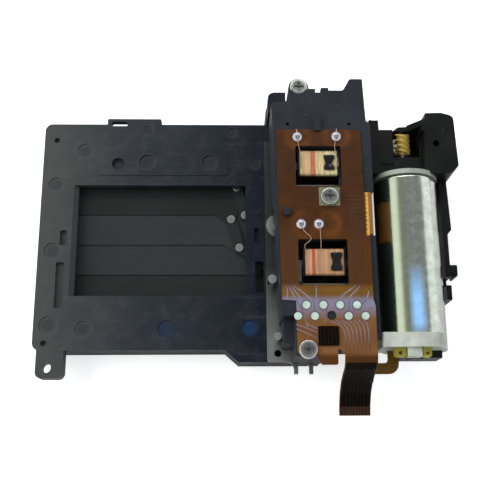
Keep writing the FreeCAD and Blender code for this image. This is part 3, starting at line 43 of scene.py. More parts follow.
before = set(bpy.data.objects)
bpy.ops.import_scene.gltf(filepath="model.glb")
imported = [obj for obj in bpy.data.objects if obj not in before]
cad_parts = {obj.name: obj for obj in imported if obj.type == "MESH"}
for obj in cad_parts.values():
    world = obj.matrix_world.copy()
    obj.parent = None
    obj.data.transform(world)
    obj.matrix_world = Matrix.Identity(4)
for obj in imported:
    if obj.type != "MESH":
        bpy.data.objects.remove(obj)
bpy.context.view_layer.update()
MM = 0.001

# Places on the board, the plate and the can, in millimetres on the object's axes
BOARD_FACE = 15.95
SOLDER_HALOS = ((26.4, 15.2, 2.3), (33.0, 15.3, 2.3), (27.2, -0.4, 2.3), (31.2, -0.3, 2.2))
PAD_PITCH = 2.7
UPPER_PADS = tuple((27.2 + PAD_PITCH * k, -13.85) for k in range(4))
LOWER_PADS = tuple((25.8 + PAD_PITCH * k, -15.65) for k in (0, 1, 3, 4))
SCREW_PLACES = ((26.9, 24.8), (31.5, 4.4), (27.3, -21.0))
# ejector marks on the plate, each with a painted highlight on its rim and painted shade inside
SHADED_PLATE_MARKS = (
    (-11.1, 16.7, 1.43), (0.1, 14.5, 1.5), (11.4, 14.5, 1.5), (0.2, 20.7, 1.0), (15.4, 20.3, 1.0),
    (-16.0, 10.2, 1.4), (-16.0, -2.1, 1.5), (19.5, 14.2, 1.05), (-16.0, -15.2, 1.6), (-10.0, -15.9, 1.5),
)
# painted blue reflections inside two ejector marks: x, y, radius and strength
BLUE_REFLECTION_MARKS = ((4.1, -15.9, 1.45, 0.45), (18.4, -15.8, 1.4, 0.95))

# Fades of colour in x or y, in millimetres: none at the first number, full at the second
# painted sheen on the plate toward the open side
PLATE_SHEEN_SIDE = (0.0, -18.0)
PLATE_MECHANISM_SIDE = (4.0, 20.0)
LANES = (0.5, -4.5)
BARE_FILM = (-10.2, -11.2)
FILM_FOOT = (-15.0, -17.5)
VIOLET_START = (-12.2, -13.2)
VIOLET_TURN = (-14.0, -16.2)
VIOLET_END = (-18.0, -15.8)
TONGUE = (-21.4, -22.2)
BRANCH_SIDE = (38.4, 38.8)
BRANCH_TOP = (-20.0, -20.5)
# painted gold highlight: on the folded side branch, then on the film's edge above it
FOLD_HIGHLIGHT_SIDE = (38.3, 38.45)
FOLD_HIGHLIGHT_BOTTOM = (-12.0, -3.0)
EDGE_HIGHLIGHT_SIDE = (37.3, 37.6)
FOLD_HIGHLIGHT_CORE = (37.8, 38.0)
EDGE_HIGHLIGHT_BOTTOM = (-2.4, -2.0)
EDGE_HIGHLIGHT_TOP = (5.6, 5.2)
TRACE_BARE = (-10.3, -11.4)
TRACE_PADS = (-12.7, -13.2)
TRACE_LOW = (-15.8, -16.8)
TRACE_FOOT = (-18.5, -20.5)
FINGERS = (-20.0, -21.0)
# painted shadow of the cover on the plated sheet, darkest toward the top
STEEL_PAINTED_SHADOW = (-17.0, -5.0)
# painted blue reflection low on the can, which glows
BLUE_REFLECTION_TOP = (-6.5, -12.5)
BLUE_REFLECTION_BOTTOM = (-19.0, -16.5)
RED_FADE = 0.1

# Windings: first and last redder turn in x; glue drop's x, width and length; painted light: how much lighter
# or darker the copper is painted
WINDINGS = (
    ("first", (28.4, 28.9), (32.35, 1.9, 3.1), 0.84),
    ("second", (28.6, 29.4), (31.7, 1.8, 2.7), 1.6),
)
WINDING_CORNER = 0.4
CORNER_STEPS = 4
GLUE_HEIGHT = 0.45
GLUE_WAIST = 0.66
GLUE_UNEVEN = 0.14
STRIP_FLATNESS = 0.08

# Finishes that aren't offered as settings
DUST = (0.2, 0.21, 0.21)
CAN_RUBS = (0.42, 0.5, 0.47)
CAN_SPECKS = (0.16, 0.2, 0.17)
# painted green reflection on one side of the can
CAN_GREEN_REFLECTION = (0.54, 0.61, 0.41)
# painted blue reflection low on the can, which glows
CAN_BLUE_REFLECTION = (0.14, 0.42, 0.85)
BRASS_STAIN = (0.6, 0.46, 0.16)
# painted light and shade: each blade's copy of the paint is made lighter or darker by its factor
BLADE_SHADES = (0.8, 1.5, 1.45, 0.95)
ROUGH_SPREAD = 0.07
COAT_ROUGH = 0.2
RIB_SCALE = 520.0

# Studio: strength of the world for soft light and for gloss, the lamps, and the photograph's camera
FLOOR_LIFT = 0.62
FLOOR_TONES = ((0.9, 0.9, 0.9), (0.92, 0.92, 0.92))
DOME = 0.36
WALLS = 1.15
CEILING = 0.3
WALL_TOP = (0.66, 0.54)
LEFT_WALL = (-0.1, 0.1, -0.16, 0.0)
WORLD_PRESS = (1.0, 0.35, 1.0)
BACKDROP = (0.95, 0.975, 1.0, 1.0)
AIM = Vector((0.02, 0.0, 0.0))
LAMPS = (
    ("window", (-0.45, 0.12, 0.30), 0.40, 0.50, 3.0),
    ("card", (0.50, 0.05, 0.16), 0.20, 0.50, 0.7),
    ("top", (0.02, 0.45, 0.45), 0.60, 0.15, 0.9),
)
CAMERA_PLACE = (0.01467, -0.03947, 0.1411)
CAMERA_RIGHT = Vector((0.99962, -0.00735, 0.02649))
CAMERA_UP = Vector((0.0, 0.96361, 0.26730))
CAMERA_BACK = Vector((-0.02749, -0.26720, 0.96325))
LENS = 57.6
SENSOR = 36.0


# Settings

def colour_setting(name, description, default):
    """A colour the user can change, given as the eye sees it on screen."""
    linear = [((c / 255 + 0.055) / 1.055) ** 2.4 if c > 10 else c / 255 / 12.92 for c in default]
    return FloatVectorProperty(name=name, description=description, default=linear, size=3,
                               subtype="COLOR", min=0.0, max=1.0)


def length_setting(name, description, default):
    """A length the user can change, in metres."""
    return FloatProperty(name=name, description=description, default=default * MM, min=0.0,
                         subtype="DISTANCE", unit="LENGTH", precision=5)


class ShutterColours(PropertyGroup):
    plate: colour_setting("Base plate", "Moulded front plate", (46, 51, 59))
    # painted sheen: the plate's lighter colour toward the open side
    plate_left: colour_setting("Plate, open side", "Plate far from the mechanism", (76, 80, 77))
    plate_right: colour_setting("Plate, mechanism side", "Plate near the mechanism", (23, 29, 40))
    # painted blue reflection inside two ejector marks
    plate_mark_reflection: colour_setting("Blue reflections", "Painted blue reflection inside two of the ejector marks", (30, 56, 86))
    cover: colour_setting("Cover", "Moulded box over the mechanism", (40, 45, 51))
    gearbox: colour_setting("Gearbox", "Black moulded gearbox", (24, 25, 24))
    blade: colour_setting("Blades", "Black painted blades", (40, 42, 42))
    film: colour_setting("Film", "Amber film over the copper plane", (71, 38, 8))
    film_side: colour_setting("Film over the lanes", "Film between the long traces", (90, 50, 10))
    film_low: colour_setting("Bare film", "Film with no copper below", (118, 84, 26))
    film_pads: colour_setting("Film round the pads", "Violet sheen round the test pads", (140, 138, 164))
    film_foot: colour_setting("Film above the tail", "Film where the traces bend to the tail", (126, 84, 46))
    # painted gold highlight on the fold
    film_fold_highlight: colour_setting("Highlight on the fold", "Painted gold highlight on the folded side branch", (238, 182, 78))
    tail: colour_setting("Tail backing", "Dark backing of the tail and its patch", (17, 12, 7))
    copper: colour_setting("Copper wire", "Enamelled winding", (240, 188, 142))
    copper_red: colour_setting("Red turns", "Turns with redder enamel", (205, 66, 46))
    brass: colour_setting("Brass", "Worm", (242, 218, 120))
    zinc: colour_setting("Motor can", "Plated can", (206, 212, 200))
    cap: colour_setting("End cap", "Off-white end cap", (190, 196, 184))
    steel: colour_setting("Bright steel", "Plated plates and levers", (194, 198, 192))
    washer: colour_setting("Washer plate", "Pale tab below the middle screw", (122, 119, 92))
    pads: colour_setting("Pads", "Plated test pads", (204, 226, 212))
    terminals: colour_setting("Terminals", "Yellow plated motor terminals", (214, 204, 96))


class ShutterSizes(PropertyGroup):
    lead: length_setting("Lead", "Diameter of the coils' leads", 0.13)
    trace: length_setting("Trace", "Width of the board's traces", 0.2)
    wire: length_setting("Wire", "Diameter of the coils' wire", 0.125)
    floor: FloatProperty(name="Floor", description="Side of the floor", default=3.0, min=0.5,
                         subtype="DISTANCE", unit="LENGTH")


# Shared node groups

def shader_group(name, inputs, outputs):
    """Empty node group with named sockets."""
    group = bpy.data.node_groups.new(name, "ShaderNodeTree")
    for label, kind, default in inputs:
        socket = group.interface.new_socket(label, in_out="INPUT", socket_type=kind)
        if default is not None:
            socket.default_value = default
    for label, kind in outputs:
        group.interface.new_socket(label, in_out="OUTPUT", socket_type=kind)
    return group, group.nodes.new("NodeGroupInput"), group.nodes.new("NodeGroupOutput")


def node(tree, kind, **values):
    """New node with its settings; keys that name sockets set their values."""
    made = tree.nodes.new(kind)
    for key, value in values.items():
        if hasattr(made, key) and key not in made.inputs:
            setattr(made, key, value)
        else:
            made.inputs[key].default_value = value
    return made


def build_grain():
    """Fine grain and slow mottling of moulded, painted and plated surfaces."""
    group, start, end = shader_group(
        "Fine grain",
        [("Vector", "NodeSocketVector", None), ("Size", "NodeSocketFloat", 3000.0),
         ("Patch size", "NodeSocketFloat", 150.0)],
        [("Height", "NodeSocketFloat"), ("Mottle", "NodeSocketFloat")],
    )
    fine = node(group, "ShaderNodeTexNoise", Detail=3.0, Roughness=0.6)
    slow = node(group, "ShaderNodeTexNoise", Detail=4.0, Roughness=0.55)
    group.links.new(start.outputs["Vector"], fine.inputs["Vector"])
    group.links.new(start.outputs["Vector"], slow.inputs["Vector"])
    group.links.new(start.outputs["Size"], fine.inputs["Scale"])
    group.links.new(start.outputs["Patch size"], slow.inputs["Scale"])
    spread = node(group, "ShaderNodeMapRange")
    spread.inputs["From Min"].default_value = 0.35
    spread.inputs["From Max"].default_value = 0.65
    group.links.new(slow.outputs[0], spread.inputs["Value"])
    group.links.new(fine.outputs[0], end.inputs["Height"])
    group.links.new(spread.outputs[0], end.inputs["Mottle"])
    return group


def build_scratches():
    """Long fine lines along one axis, as brushing, drawing or handling leaves."""
    group, start, end = shader_group(
        "Drawn lines",
        [("Vector", "NodeSocketVector", None), ("Stretch", "NodeSocketVector", (40.0, 4000.0, 4000.0))],
        [("Lines", "NodeSocketFloat")],
    )
    scale = node(group, "ShaderNodeVectorMath", operation="MULTIPLY")
    group.links.new(start.outputs["Vector"], scale.inputs[0])
    group.links.new(start.outputs["Stretch"], scale.inputs[1])
    noise = node(group, "ShaderNodeTexNoise", Scale=1.0, Detail=2.0)
    group.links.new(scale.outputs[0], noise.inputs["Vector"])
    group.links.new(noise.outputs[0], end.inputs["Lines"])
    return group


def build_specks():
    """Sparse pale dust and lint."""
    group, start, end = shader_group(
        "Dust specks",
        [("Vector", "NodeSocketVector", None), ("Size", "NodeSocketFloat", 900.0),
         ("Amount", "NodeSocketFloat", 0.3)],
        [("Mask", "NodeSocketFloat")],
    )
    noise = node(group, "ShaderNodeTexNoise", Detail=1.0)
    group.links.new(start.outputs["Vector"], noise.inputs["Vector"])
    group.links.new(start.outputs["Size"], noise.inputs["Scale"])
    cut = node(group, "ShaderNodeMapRange")
    cut.inputs["From Min"].default_value = 0.68
    cut.inputs["From Max"].default_value = 0.74
    group.links.new(noise.outputs[0], cut.inputs["Value"])
    dim = node(group, "ShaderNodeMath", operation="MULTIPLY")
    group.links.new(cut.outputs[0], dim.inputs[0])
    group.links.new(start.outputs["Amount"], dim.inputs[1])
    group.links.new(dim.outputs[0], end.inputs["Mask"])
    return group


def build_mark():
    """Soft round mark seen from the front: 1 inside, 0 outside."""
    group, start, end = shader_group(
        "Round mark",
        [("Vector", "NodeSocketVector", None), ("Centre", "NodeSocketVector", (0.0, 0.0, 0.0)),
         ("Radius", "NodeSocketFloat", 0.001), ("Blur", "NodeSocketFloat", 0.0002)],
        [("Mask", "NodeSocketFloat")],
    )
    flat = node(group, "ShaderNodeVectorMath", operation="MULTIPLY")
    flat.inputs[1].default_value = (1.0, 1.0, 0.0)
    group.links.new(start.outputs["Vector"], flat.inputs[0])
    away = node(group, "ShaderNodeVectorMath", operation="DISTANCE")
    group.links.new(flat.outputs[0], away.inputs[0])
    group.links.new(start.outputs["Centre"], away.inputs[1])
    inner = node(group, "ShaderNodeMath", operation="SUBTRACT")
    outer = node(group, "ShaderNodeMath", operation="ADD")
    for edge in (inner, outer):
        group.links.new(start.outputs["Radius"], edge.inputs[0])
        group.links.new(start.outputs["Blur"], edge.inputs[1])
    fade = node(group, "ShaderNodeMapRange")
    fade.inputs["To Min"].default_value = 1.0
    fade.inputs["To Max"].default_value = 0.0
    group.links.new(away.outputs["Value"], fade.inputs["Value"])
    group.links.new(inner.outputs[0], fade.inputs["From Min"])
    group.links.new(outer.outputs[0], fade.inputs["From Max"])
    group.links.new(fade.outputs[0], end.inputs["Mask"])
    return group


GROUPS = {}


def group_node(tree, name):
    """Node that holds a shared group, fed with Object coordinates."""
    builders = {
        "Fine grain": build_grain,
        "Drawn lines": build_scratches,
        "Dust specks": build_specks,
        "Round mark": build_mark,
    }
    if name not in GROUPS:
        GROUPS[name] = builders[name]()
    made = tree.nodes.new("ShaderNodeGroup")
    made.node_tree = GROUPS[name]
    tree.links.new(coordinates(tree), made.inputs["Vector"])
    return made


def coordinates(tree):
    """Object coordinates of a material, one node for all."""
    found = tree.nodes.get("Place")
    if found is None:
        found = tree.nodes.new("ShaderNodeTexCoord")
        found.name = "Place"
    return found.outputs["Object"]


def new_material(name):
    """Material with its Principled shader."""
    material = bpy.data.materials.new(name)
    material.use_nodes = True
    tree = material.node_tree
    return material, tree, tree.nodes["Principled BSDF"]


def mixed(tree, factor, first, second):
    """Colour mix; first and second are colours or sockets."""
    made = tree.nodes.new("ShaderNodeMix")
    made.data_type = "RGBA"
    for value, socket in ((factor, made.inputs[0]), (first, made.inputs[6]), (second, made.inputs[7])):
        if isinstance(value, bpy.types.NodeSocket):
            tree.links.new(value, socket)
        elif isinstance(value, (int, float)):
            socket.default_value = value
        else:
            socket.default_value = (*value[:3], 1.0)
    return made.outputs[2]


def ranged(tree, value, low, high, out_low=0.0, out_high=1.0):
    """Map a socket from one range to another."""
    made = tree.nodes.new("ShaderNodeMapRange")
    for key, number in (("From Min", low), ("From Max", high), ("To Min", out_low), ("To Max", out_high)):
        made.inputs[key].default_value = number
    tree.links.new(value, made.inputs["Value"])
    return made.outputs[0]


def axis_value(tree, axis):
    """One Object coordinate."""
    found = tree.nodes.get("Axes")
    if found is None:
        found = tree.nodes.new("ShaderNodeSeparateXYZ")
        found.name = "Axes"
        tree.links.new(coordinates(tree), found.inputs[0])
    return found.outputs[axis]


def product(tree, first, second):
    """Product of two masks; second may be a number."""
    made = tree.nodes.new("ShaderNodeMath")
    made.operation = "MULTIPLY"
    tree.links.new(first, made.inputs[0])
    if isinstance(second, bpy.types.NodeSocket):
        tree.links.new(second, made.inputs[1])
    else:
        made.inputs[1].default_value = second
    return made.outputs[0]


def round_mark(tree, x, y, radius, blur):
    """Mask of a round mark at a place in millimetres."""
    made = group_node(tree, "Round mark")
    made.inputs["Centre"].default_value = (x * MM, y * MM, 0.0)
    made.inputs["Radius"].default_value = radius * MM
    made.inputs["Blur"].default_value = blur * MM
    return made.outputs["Mask"]


def bump(tree, shader, height, distance, strength=1.0):
    """Bump on a shader's normal."""
    made = tree.nodes.new("ShaderNodeBump")
    made.inputs["Distance"].default_value = distance
    made.inputs["Strength"].default_value = strength
    tree.links.new(height, made.inputs["Height"])
    tree.links.new(made.outputs[0], shader.inputs["Normal"])


def scaled(colour, factor):
    """Lighter or darker colour."""
    return tuple(min(1.0, c * factor) for c in colour[:3])


# Finishes

def grain(tree, size=None, patch=None):
    """Fine grain with its own sizes."""
    fine = group_node(tree, "Fine grain")
    if size:
        fine.inputs["Size"].default_value = size
    if patch:
        fine.inputs["Patch size"].default_value = patch
    return fine.outputs


def drawn(tree, stretch):
    """Mask of drawn lines with their own stretch."""
    lines = group_node(tree, "Drawn lines")
    lines.inputs["Stretch"].default_value = stretch
    return lines.outputs["Lines"]


def dusted(tree, tone, amount, colour=DUST, size=None):
    """Colour with specks on it."""
    specks = group_node(tree, "Dust specks")
    specks.inputs["Amount"].default_value = amount
    if size:
        specks.inputs["Size"].default_value = size
    return mixed(tree, specks.outputs["Mask"], tone, colour)


def shades(tree, factor, colour, low, high):
    """Colour that wanders between a darker and a lighter tone of itself."""
    return mixed(tree, factor, scaled(colour, low), scaled(colour, high))


def across(tree, value, edges, low=0.0, high=1.0):
    """Fade between two places, in millimetres, along one axis."""
    return ranged(tree, value, edges[0] * MM, edges[1] * MM, low, high)


def dress(tree, shader, tone, rough, gloss=None, metallic=None, coat=None, coat_rough=COAT_ROUGH):
    """Give a shader its colour and its fixed values; rough may be a mask."""
    tree.links.new(tone, shader.inputs["Base Color"])
    if isinstance(rough, bpy.types.NodeSocket):
        tree.links.new(rough, shader.inputs["Roughness"])
    else:
        shader.inputs["Roughness"].default_value = rough
    for socket, number in (("Specular IOR Level", gloss), ("Metallic", metallic), ("Coat Weight", coat)):
        if number is not None:
            shader.inputs[socket].default_value = number
    if coat is not None:
        shader.inputs["Coat Roughness"].default_value = coat_rough


def moulded(name, colour, rough=0.5, size=4000.0, depth=0.000015, dust=0.08, patch=150.0, gloss=0.2):
    """Moulded plastic: fine grain, slow mottling and a little dust."""
    material, tree, shader = new_material(name)
    fine = grain(tree, size, patch)
    tone = dusted(tree, shades(tree, fine["Mottle"], colour, 0.82, 1.2), dust)
    uneven = ranged(tree, fine["Mottle"], 0, 1, rough - ROUGH_SPREAD, rough + ROUGH_SPREAD)
    dress(tree, shader, tone, uneven, gloss)
    bump(tree, shader, fine["Height"], depth)
    return material


def plate_moulding(colours):
    """Moulding of the base plate: bluish by the mechanism, greyer and lighter at the open side as a painted
    sheen, with round marks that carry a painted rim highlight and painted shade, two of them a painted blue
    reflection.
    """
    material, tree, shader = new_material("Moulded plate")
    fine = grain(tree, 3600.0, 120.0)
    cloud = grain(tree, patch=420.0)["Mottle"]
    rubs = drawn(tree, (90.0, 1500.0, 1500.0))
    x = axis_value(tree, 0)
    # Painted sheen: the plate is painted lighter toward the open side, and darker and bluer toward the
    # mechanism.
    tone = mixed(tree, across(tree, x, PLATE_SHEEN_SIDE), colours.plate, colours.plate_left)
    tone = mixed(tree, across(tree, x, PLATE_MECHANISM_SIDE), tone, colours.plate_right)
    tone = mixed(tree, ranged(tree, fine["Mottle"], 0, 1, 0.0, 0.2), tone, scaled(colours.plate, 0.5))
    tone = mixed(tree, ranged(tree, cloud, 0.4, 1.0, 0.0, 0.1), tone, scaled(colours.plate_left, 1.5))
    tone = mixed(tree, ranged(tree, rubs, 0.62, 0.75, 0.0, 0.12), tone, scaled(colours.plate_left, 1.6))
    # Each ejector mark gets a painted highlight on its rim and painted shade inside.
    for x_mark, y_mark, radius in SHADED_PLATE_MARKS:
        ring = product(tree, round_mark(tree, x_mark, y_mark, radius + 0.15, 0.12), 0.16)
        tone = mixed(tree, ring, tone, scaled(colours.plate_left, 1.9))
        shade = product(tree, round_mark(tree, x_mark, y_mark, radius * 0.75, 0.35), 0.42)
        tone = mixed(tree, shade, tone, scaled(colours.plate_right, 0.8))
    # Painted blue reflection inside two of the marks.
    for x_mark, y_mark, radius, strength in BLUE_REFLECTION_MARKS:
        blue_reflection = product(tree, round_mark(tree, x_mark, y_mark, radius, 0.25), strength)
        tone = mixed(tree, blue_reflection, tone, colours.plate_mark_reflection)
    dress(tree, shader, dusted(tree, tone, 0.06), ranged(tree, cloud, 0, 1, 0.36, 0.5), gloss=0.18)
    bump(tree, shader, fine["Height"], 0.000014)
    return material


def metal(name, colour, rough=0.3, stretch=(60.0, 4000.0, 4000.0), stain=None, dim=None, metallic=1.0):
    """Plated or bare metal with drawn lines and faint stains; dim is the fade in y over which a painted
    shadow darkens it.
    """
    material, tree, shader = new_material(name)
    lines = drawn(tree, stretch)
    fine = grain(tree, 2500.0, 260.0)
    tone = shades(tree, lines, colour, 0.9, 1.1)
    tone = mixed(tree, ranged(tree, fine["Mottle"], 0.3, 1.0, 0.0, 0.4), tone, stain or scaled(colour, 0.7))
    # Painted shadow: darker over the fade given by dim.
    if dim:
        tone = mixed(tree, across(tree, axis_value(tree, 1), dim), tone, scaled(colour, 0.2))
    dress(tree, shader, tone, ranged(tree, lines, 0.2, 0.8, rough - 0.06, rough + 0.08), metallic=metallic)
    bump(tree, shader, lines, 0.000004)
    return material


def screw_steel(colours):
    """Plated screw heads: painted shade darkens the face and, more deeply, the recess, so the rim stays
    bright.
    """
    material, tree, shader = new_material("Screw steel")
    fine = grain(tree, patch=700.0)
    tone = shades(tree, fine["Mottle"], colours.steel, 0.95, 1.25)
    for x, y in SCREW_PLACES:
        # Painted shade darkens each head's face, and more deeply its recess.
        face = product(tree, round_mark(tree, x, y, 0.95, 0.12), 0.6)
        tone = mixed(tree, face, tone, scaled(colours.steel, 0.4))
        recess = product(tree, round_mark(tree, x, y, 0.32, 0.14), 0.8)
        tone = mixed(tree, recess, tone, scaled(colours.steel, 0.15))
    dress(tree, shader, tone, ranged(tree, fine["Mottle"], 0, 1, 0.2, 0.32), metallic=1.0)
    bump(tree, shader, fine["Height"], 0.000008)
    return material


def blade_paint(name, colour, shade):
    """Dry black paint on thin blades, with rub lines along their length; shade gives a lighter or darker
    copy of it as painted light and shade.
    """
    material, tree, shader = new_material(name)
    lines = drawn(tree, (25.0, 2600.0, 2600.0))
    fine = grain(tree, 6000.0, 120.0)
    tone = shades(tree, lines, colour, 0.85 * shade, 1.15 * shade)
    tone = mixed(tree, ranged(tree, fine["Mottle"], 0, 1, 0, 0.35), tone, scaled(colour, 1.35 * shade))
    dress(tree, shader, tone, ranged(tree, lines, 0.2, 0.8, 0.5, 0.64), gloss=0.2)
    bump(tree, shader, fine["Height"], 0.000006)
    return material


def film(colours):
    """Amber film: dark over copper, lighter where bare, violet round the pads, a painted gold highlight on
    the fold.
    """
    material, tree, shader = new_material("Amber film")
    fine = grain(tree, 2200.0, 260.0)
    mottle = fine["Mottle"]
    y = axis_value(tree, 1)
    weave = ranged(tree, drawn(tree, (300.0, 4200.0, 300.0)), 0.45, 0.7, 0.0, 0.35)
    tone = mixed(tree, weave, shades(tree, mottle, colours.film, 0.82, 1.2), scaled(colours.film, 0.55))
    tone = mixed(tree, product(tree, across(tree, y, LANES), 0.85), tone, colours.film_side)
    tone = solder_halos(tree, tone, colours, mottle)
    tone = mixed(tree, across(tree, y, BARE_FILM), tone, shades(tree, mottle, colours.film_low, 0.85, 1.1))
    tone = mixed(tree, across(tree, y, FILM_FOOT), tone, shades(tree, mottle, colours.film_foot, 0.8, 1.15))
    tone = violet_zone(tree, tone, colours, mottle, y)
    tone = mixed(tree, across(tree, y, TONGUE), tone, scaled(colours.film, 1.5))
    branch = product(tree, across(tree, axis_value(tree, 0), BRANCH_SIDE), across(tree, y, BRANCH_TOP))
    tone = mixed(tree, branch, tone, scaled(colours.film_low, 1.1))
    dress(tree, shader, painted_fold_highlight(tree, tone, colours, y), 0.4, gloss=0.25, coat=0.1)
    bump(tree, shader, mottle, 0.00002, 0.5)
    return material


def solder_halos(tree, tone, colours, mottle):
    """Paler rings that heat left round the solder joints."""
    for x_halo, y_halo, radius in SOLDER_HALOS:
        inside = ranged(tree, round_mark(tree, x_halo, y_halo, radius - 0.8, 0.5), 0.0, 1.0, 1.0, 0.25)
        ring = product(tree, round_mark(tree, x_halo, y_halo, radius, 0.5), inside)
        ring = product(tree, ring, ranged(tree, mottle, 0.1, 0.9, 0.25, 1.0))
        tone = mixed(tree, product(tree, ring, 0.7), tone, scaled(colours.film_side, 1.8))
    return tone


def violet_zone(tree, tone, colours, mottle, y):
    """Violet sheen that turns brown toward the tail, with a dark ring round each pad."""
    sheen = product(tree, across(tree, y, VIOLET_START), across(tree, y, VIOLET_END))
    violet = mixed(tree, across(tree, y, VIOLET_TURN), colours.film_pads, scaled(colours.film_foot, 1.15))
    tone = mixed(tree, product(tree, sheen, ranged(tree, mottle, 0, 1, 0.7, 0.95)), tone, violet)
    for x_pad, y_pad in UPPER_PADS + LOWER_PADS:
        ring = product(tree, round_mark(tree, x_pad, y_pad, 0.86, 0.08), 0.6)
        tone = mixed(tree, ring, tone, scaled(colours.film_pads, 0.3))
    return tone


def painted_fold_highlight(tree, tone, colours, y):
    """Painted gold highlight on the folded side branch and on the film's edge above it."""
    x = axis_value(tree, 0)
    facing = tree.nodes.new("ShaderNodeNewGeometry")
    apart = tree.nodes.new("ShaderNodeSeparateXYZ")
    tree.links.new(facing.outputs["True Normal"], apart.inputs[0])
    fold = product(tree, ranged(tree, apart.outputs[0], 0.25, 0.6), across(tree, x, FOLD_HIGHLIGHT_SIDE))
    fold = product(tree, fold, across(tree, y, FOLD_HIGHLIGHT_BOTTOM))
    # Painted highlight on the film's edge above the fold.
    edge = product(tree, across(tree, x, EDGE_HIGHLIGHT_SIDE), across(tree, y, EDGE_HIGHLIGHT_BOTTOM))
    edge = product(tree, edge, across(tree, y, EDGE_HIGHLIGHT_TOP))
    stripes = ranged(tree, drawn(tree, (40.0, 3600.0, 40.0)), 0.35, 0.6)
    gold_highlight = mixed(tree, stripes, scaled(colours.film_fold_highlight, 0.75), colours.film_fold_highlight)
    gold_highlight = mixed(tree, across(tree, x, FOLD_HIGHLIGHT_CORE), gold_highlight, scaled(colours.film_foot, 1.5))
    return mixed(tree, edge, mixed(tree, fold, tone, gold_highlight), gold_highlight)


def trace_film(colours):
    """Film over a trace: darker than the bare film beside it, and paler and violet by the pads."""
    material, tree, shader = new_material("Trace film")
    fine = grain(tree, patch=500.0)
    mottle = fine["Mottle"]
    y = axis_value(tree, 1)
    brown_violet = mixed(tree, 0.5, colours.film_pads, scaled(colours.film_foot, 0.9))
    tone = mixed(tree, across(tree, y, TRACE_BARE), shades(tree, mottle, colours.film, 0.6, 0.95),
                 shades(tree, mottle, colours.film_pads, 0.8, 1.05))
    tone = mixed(tree, across(tree, y, TRACE_PADS), tone, shades(tree, mottle, colours.film_pads, 0.42, 0.6))
    tone = mixed(tree, across(tree, y, TRACE_LOW), tone, brown_violet)
    tone = mixed(tree, across(tree, y, TRACE_FOOT), tone, scaled(colours.film_foot, 0.6))
    dress(tree, shader, tone, 0.4, coat=0.3)
    bump(tree, shader, fine["Height"], 0.000006)
    return material


def plated_pads(colours):
    """Pale plating of the test pads, and dull worn plating of the tail's contact fingers."""
    material, tree, shader = new_material("Plated pads")
    fine = grain(tree, patch=900.0)
    pale = shades(tree, fine["Mottle"], colours.pads, 0.9, 1.2)
    worn = shades(tree, fine["Mottle"], colours.tail, 2.0, 5.0)
    tone = mixed(tree, across(tree, axis_value(tree, 1), FINGERS), pale, worn)
    dress(tree, shader, tone, 0.4, metallic=0.2)
    bump(tree, shader, fine["Height"], 0.000006)
    return material


def tail_backing(colour):
    """Dark backing with the tail's lines showing through as ribs."""
    material, tree, shader = new_material("Tail backing")
    fine = grain(tree)
    ribs = node(tree, "ShaderNodeTexWave", wave_type="BANDS", bands_direction="X", wave_profile="SIN")
    ribs.inputs["Scale"].default_value = RIB_SCALE
    ribs.inputs["Distortion"].default_value = 0.3
    tree.links.new(coordinates(tree), ribs.inputs["Vector"])
    tone = shades(tree, ranged(tree, ribs.outputs["Fac"], 0.35, 0.75), colour, 0.45, 1.9)
    tone = mixed(tree, ranged(tree, fine["Mottle"], 0, 1, 0, 0.4), tone, scaled(colour, 0.7))
    dress(tree, shader, tone, 0.55, gloss=0.06)
    bump(tree, shader, ribs.outputs["Fac"], 0.00003, 0.6)
    return material


def winding(name, colours, red_from, red_to, face, light):
    """Copper winding: streaks along the turns, a few redder turns, sides in painted shade of the bobbin, and
    the copper painted lighter or darker by light.
    """
    material, tree, shader = new_material(name)
    x = axis_value(tree, 0)
    broad = ranged(tree, drawn(tree, (1500.0, 50.0, 50.0)), 0.35, 0.65)
    close = drawn(tree, (7000.0, 260.0, 260.0))
    tone = shades(tree, broad, colours.copper, 0.85 * light, 1.3 * light)
    tone = mixed(tree, ranged(tree, close, 0.4, 0.62, 0.45, 0.0), tone, scaled(colours.copper, 0.5))
    red = product(tree, across(tree, x, (red_from - RED_FADE, red_from)),
                  across(tree, x, (red_to + RED_FADE, red_to)))
    red = product(tree, red, ranged(tree, close, 0.35, 0.6, 0.35, 0.95))
    tone = mixed(tree, red, tone, colours.copper_red)
    # Painted shade of the bobbin on the winding's sides.
    depth = across(tree, axis_value(tree, 2), (face - 0.25, face - 0.9))
    tone = mixed(tree, depth, tone, scaled(colours.copper, 0.05))
    dress(tree, shader, tone, 0.33, metallic=0.1, coat=0.5, coat_rough=0.15)
    bump(tree, shader, close, 0.000008, 0.5)
    return material


def smooth_drop(name, colour, rough=0.3):
    """Glossy drop or tab of one hue, with slight unevenness."""
    material, tree, shader = new_material(name)
    fine = grain(tree, 900.0)
    dress(tree, shader, shades(tree, fine["Mottle"], colour, 0.8, 1.25), rough)
    bump(tree, shader, fine["Height"], 0.00002)
    return material


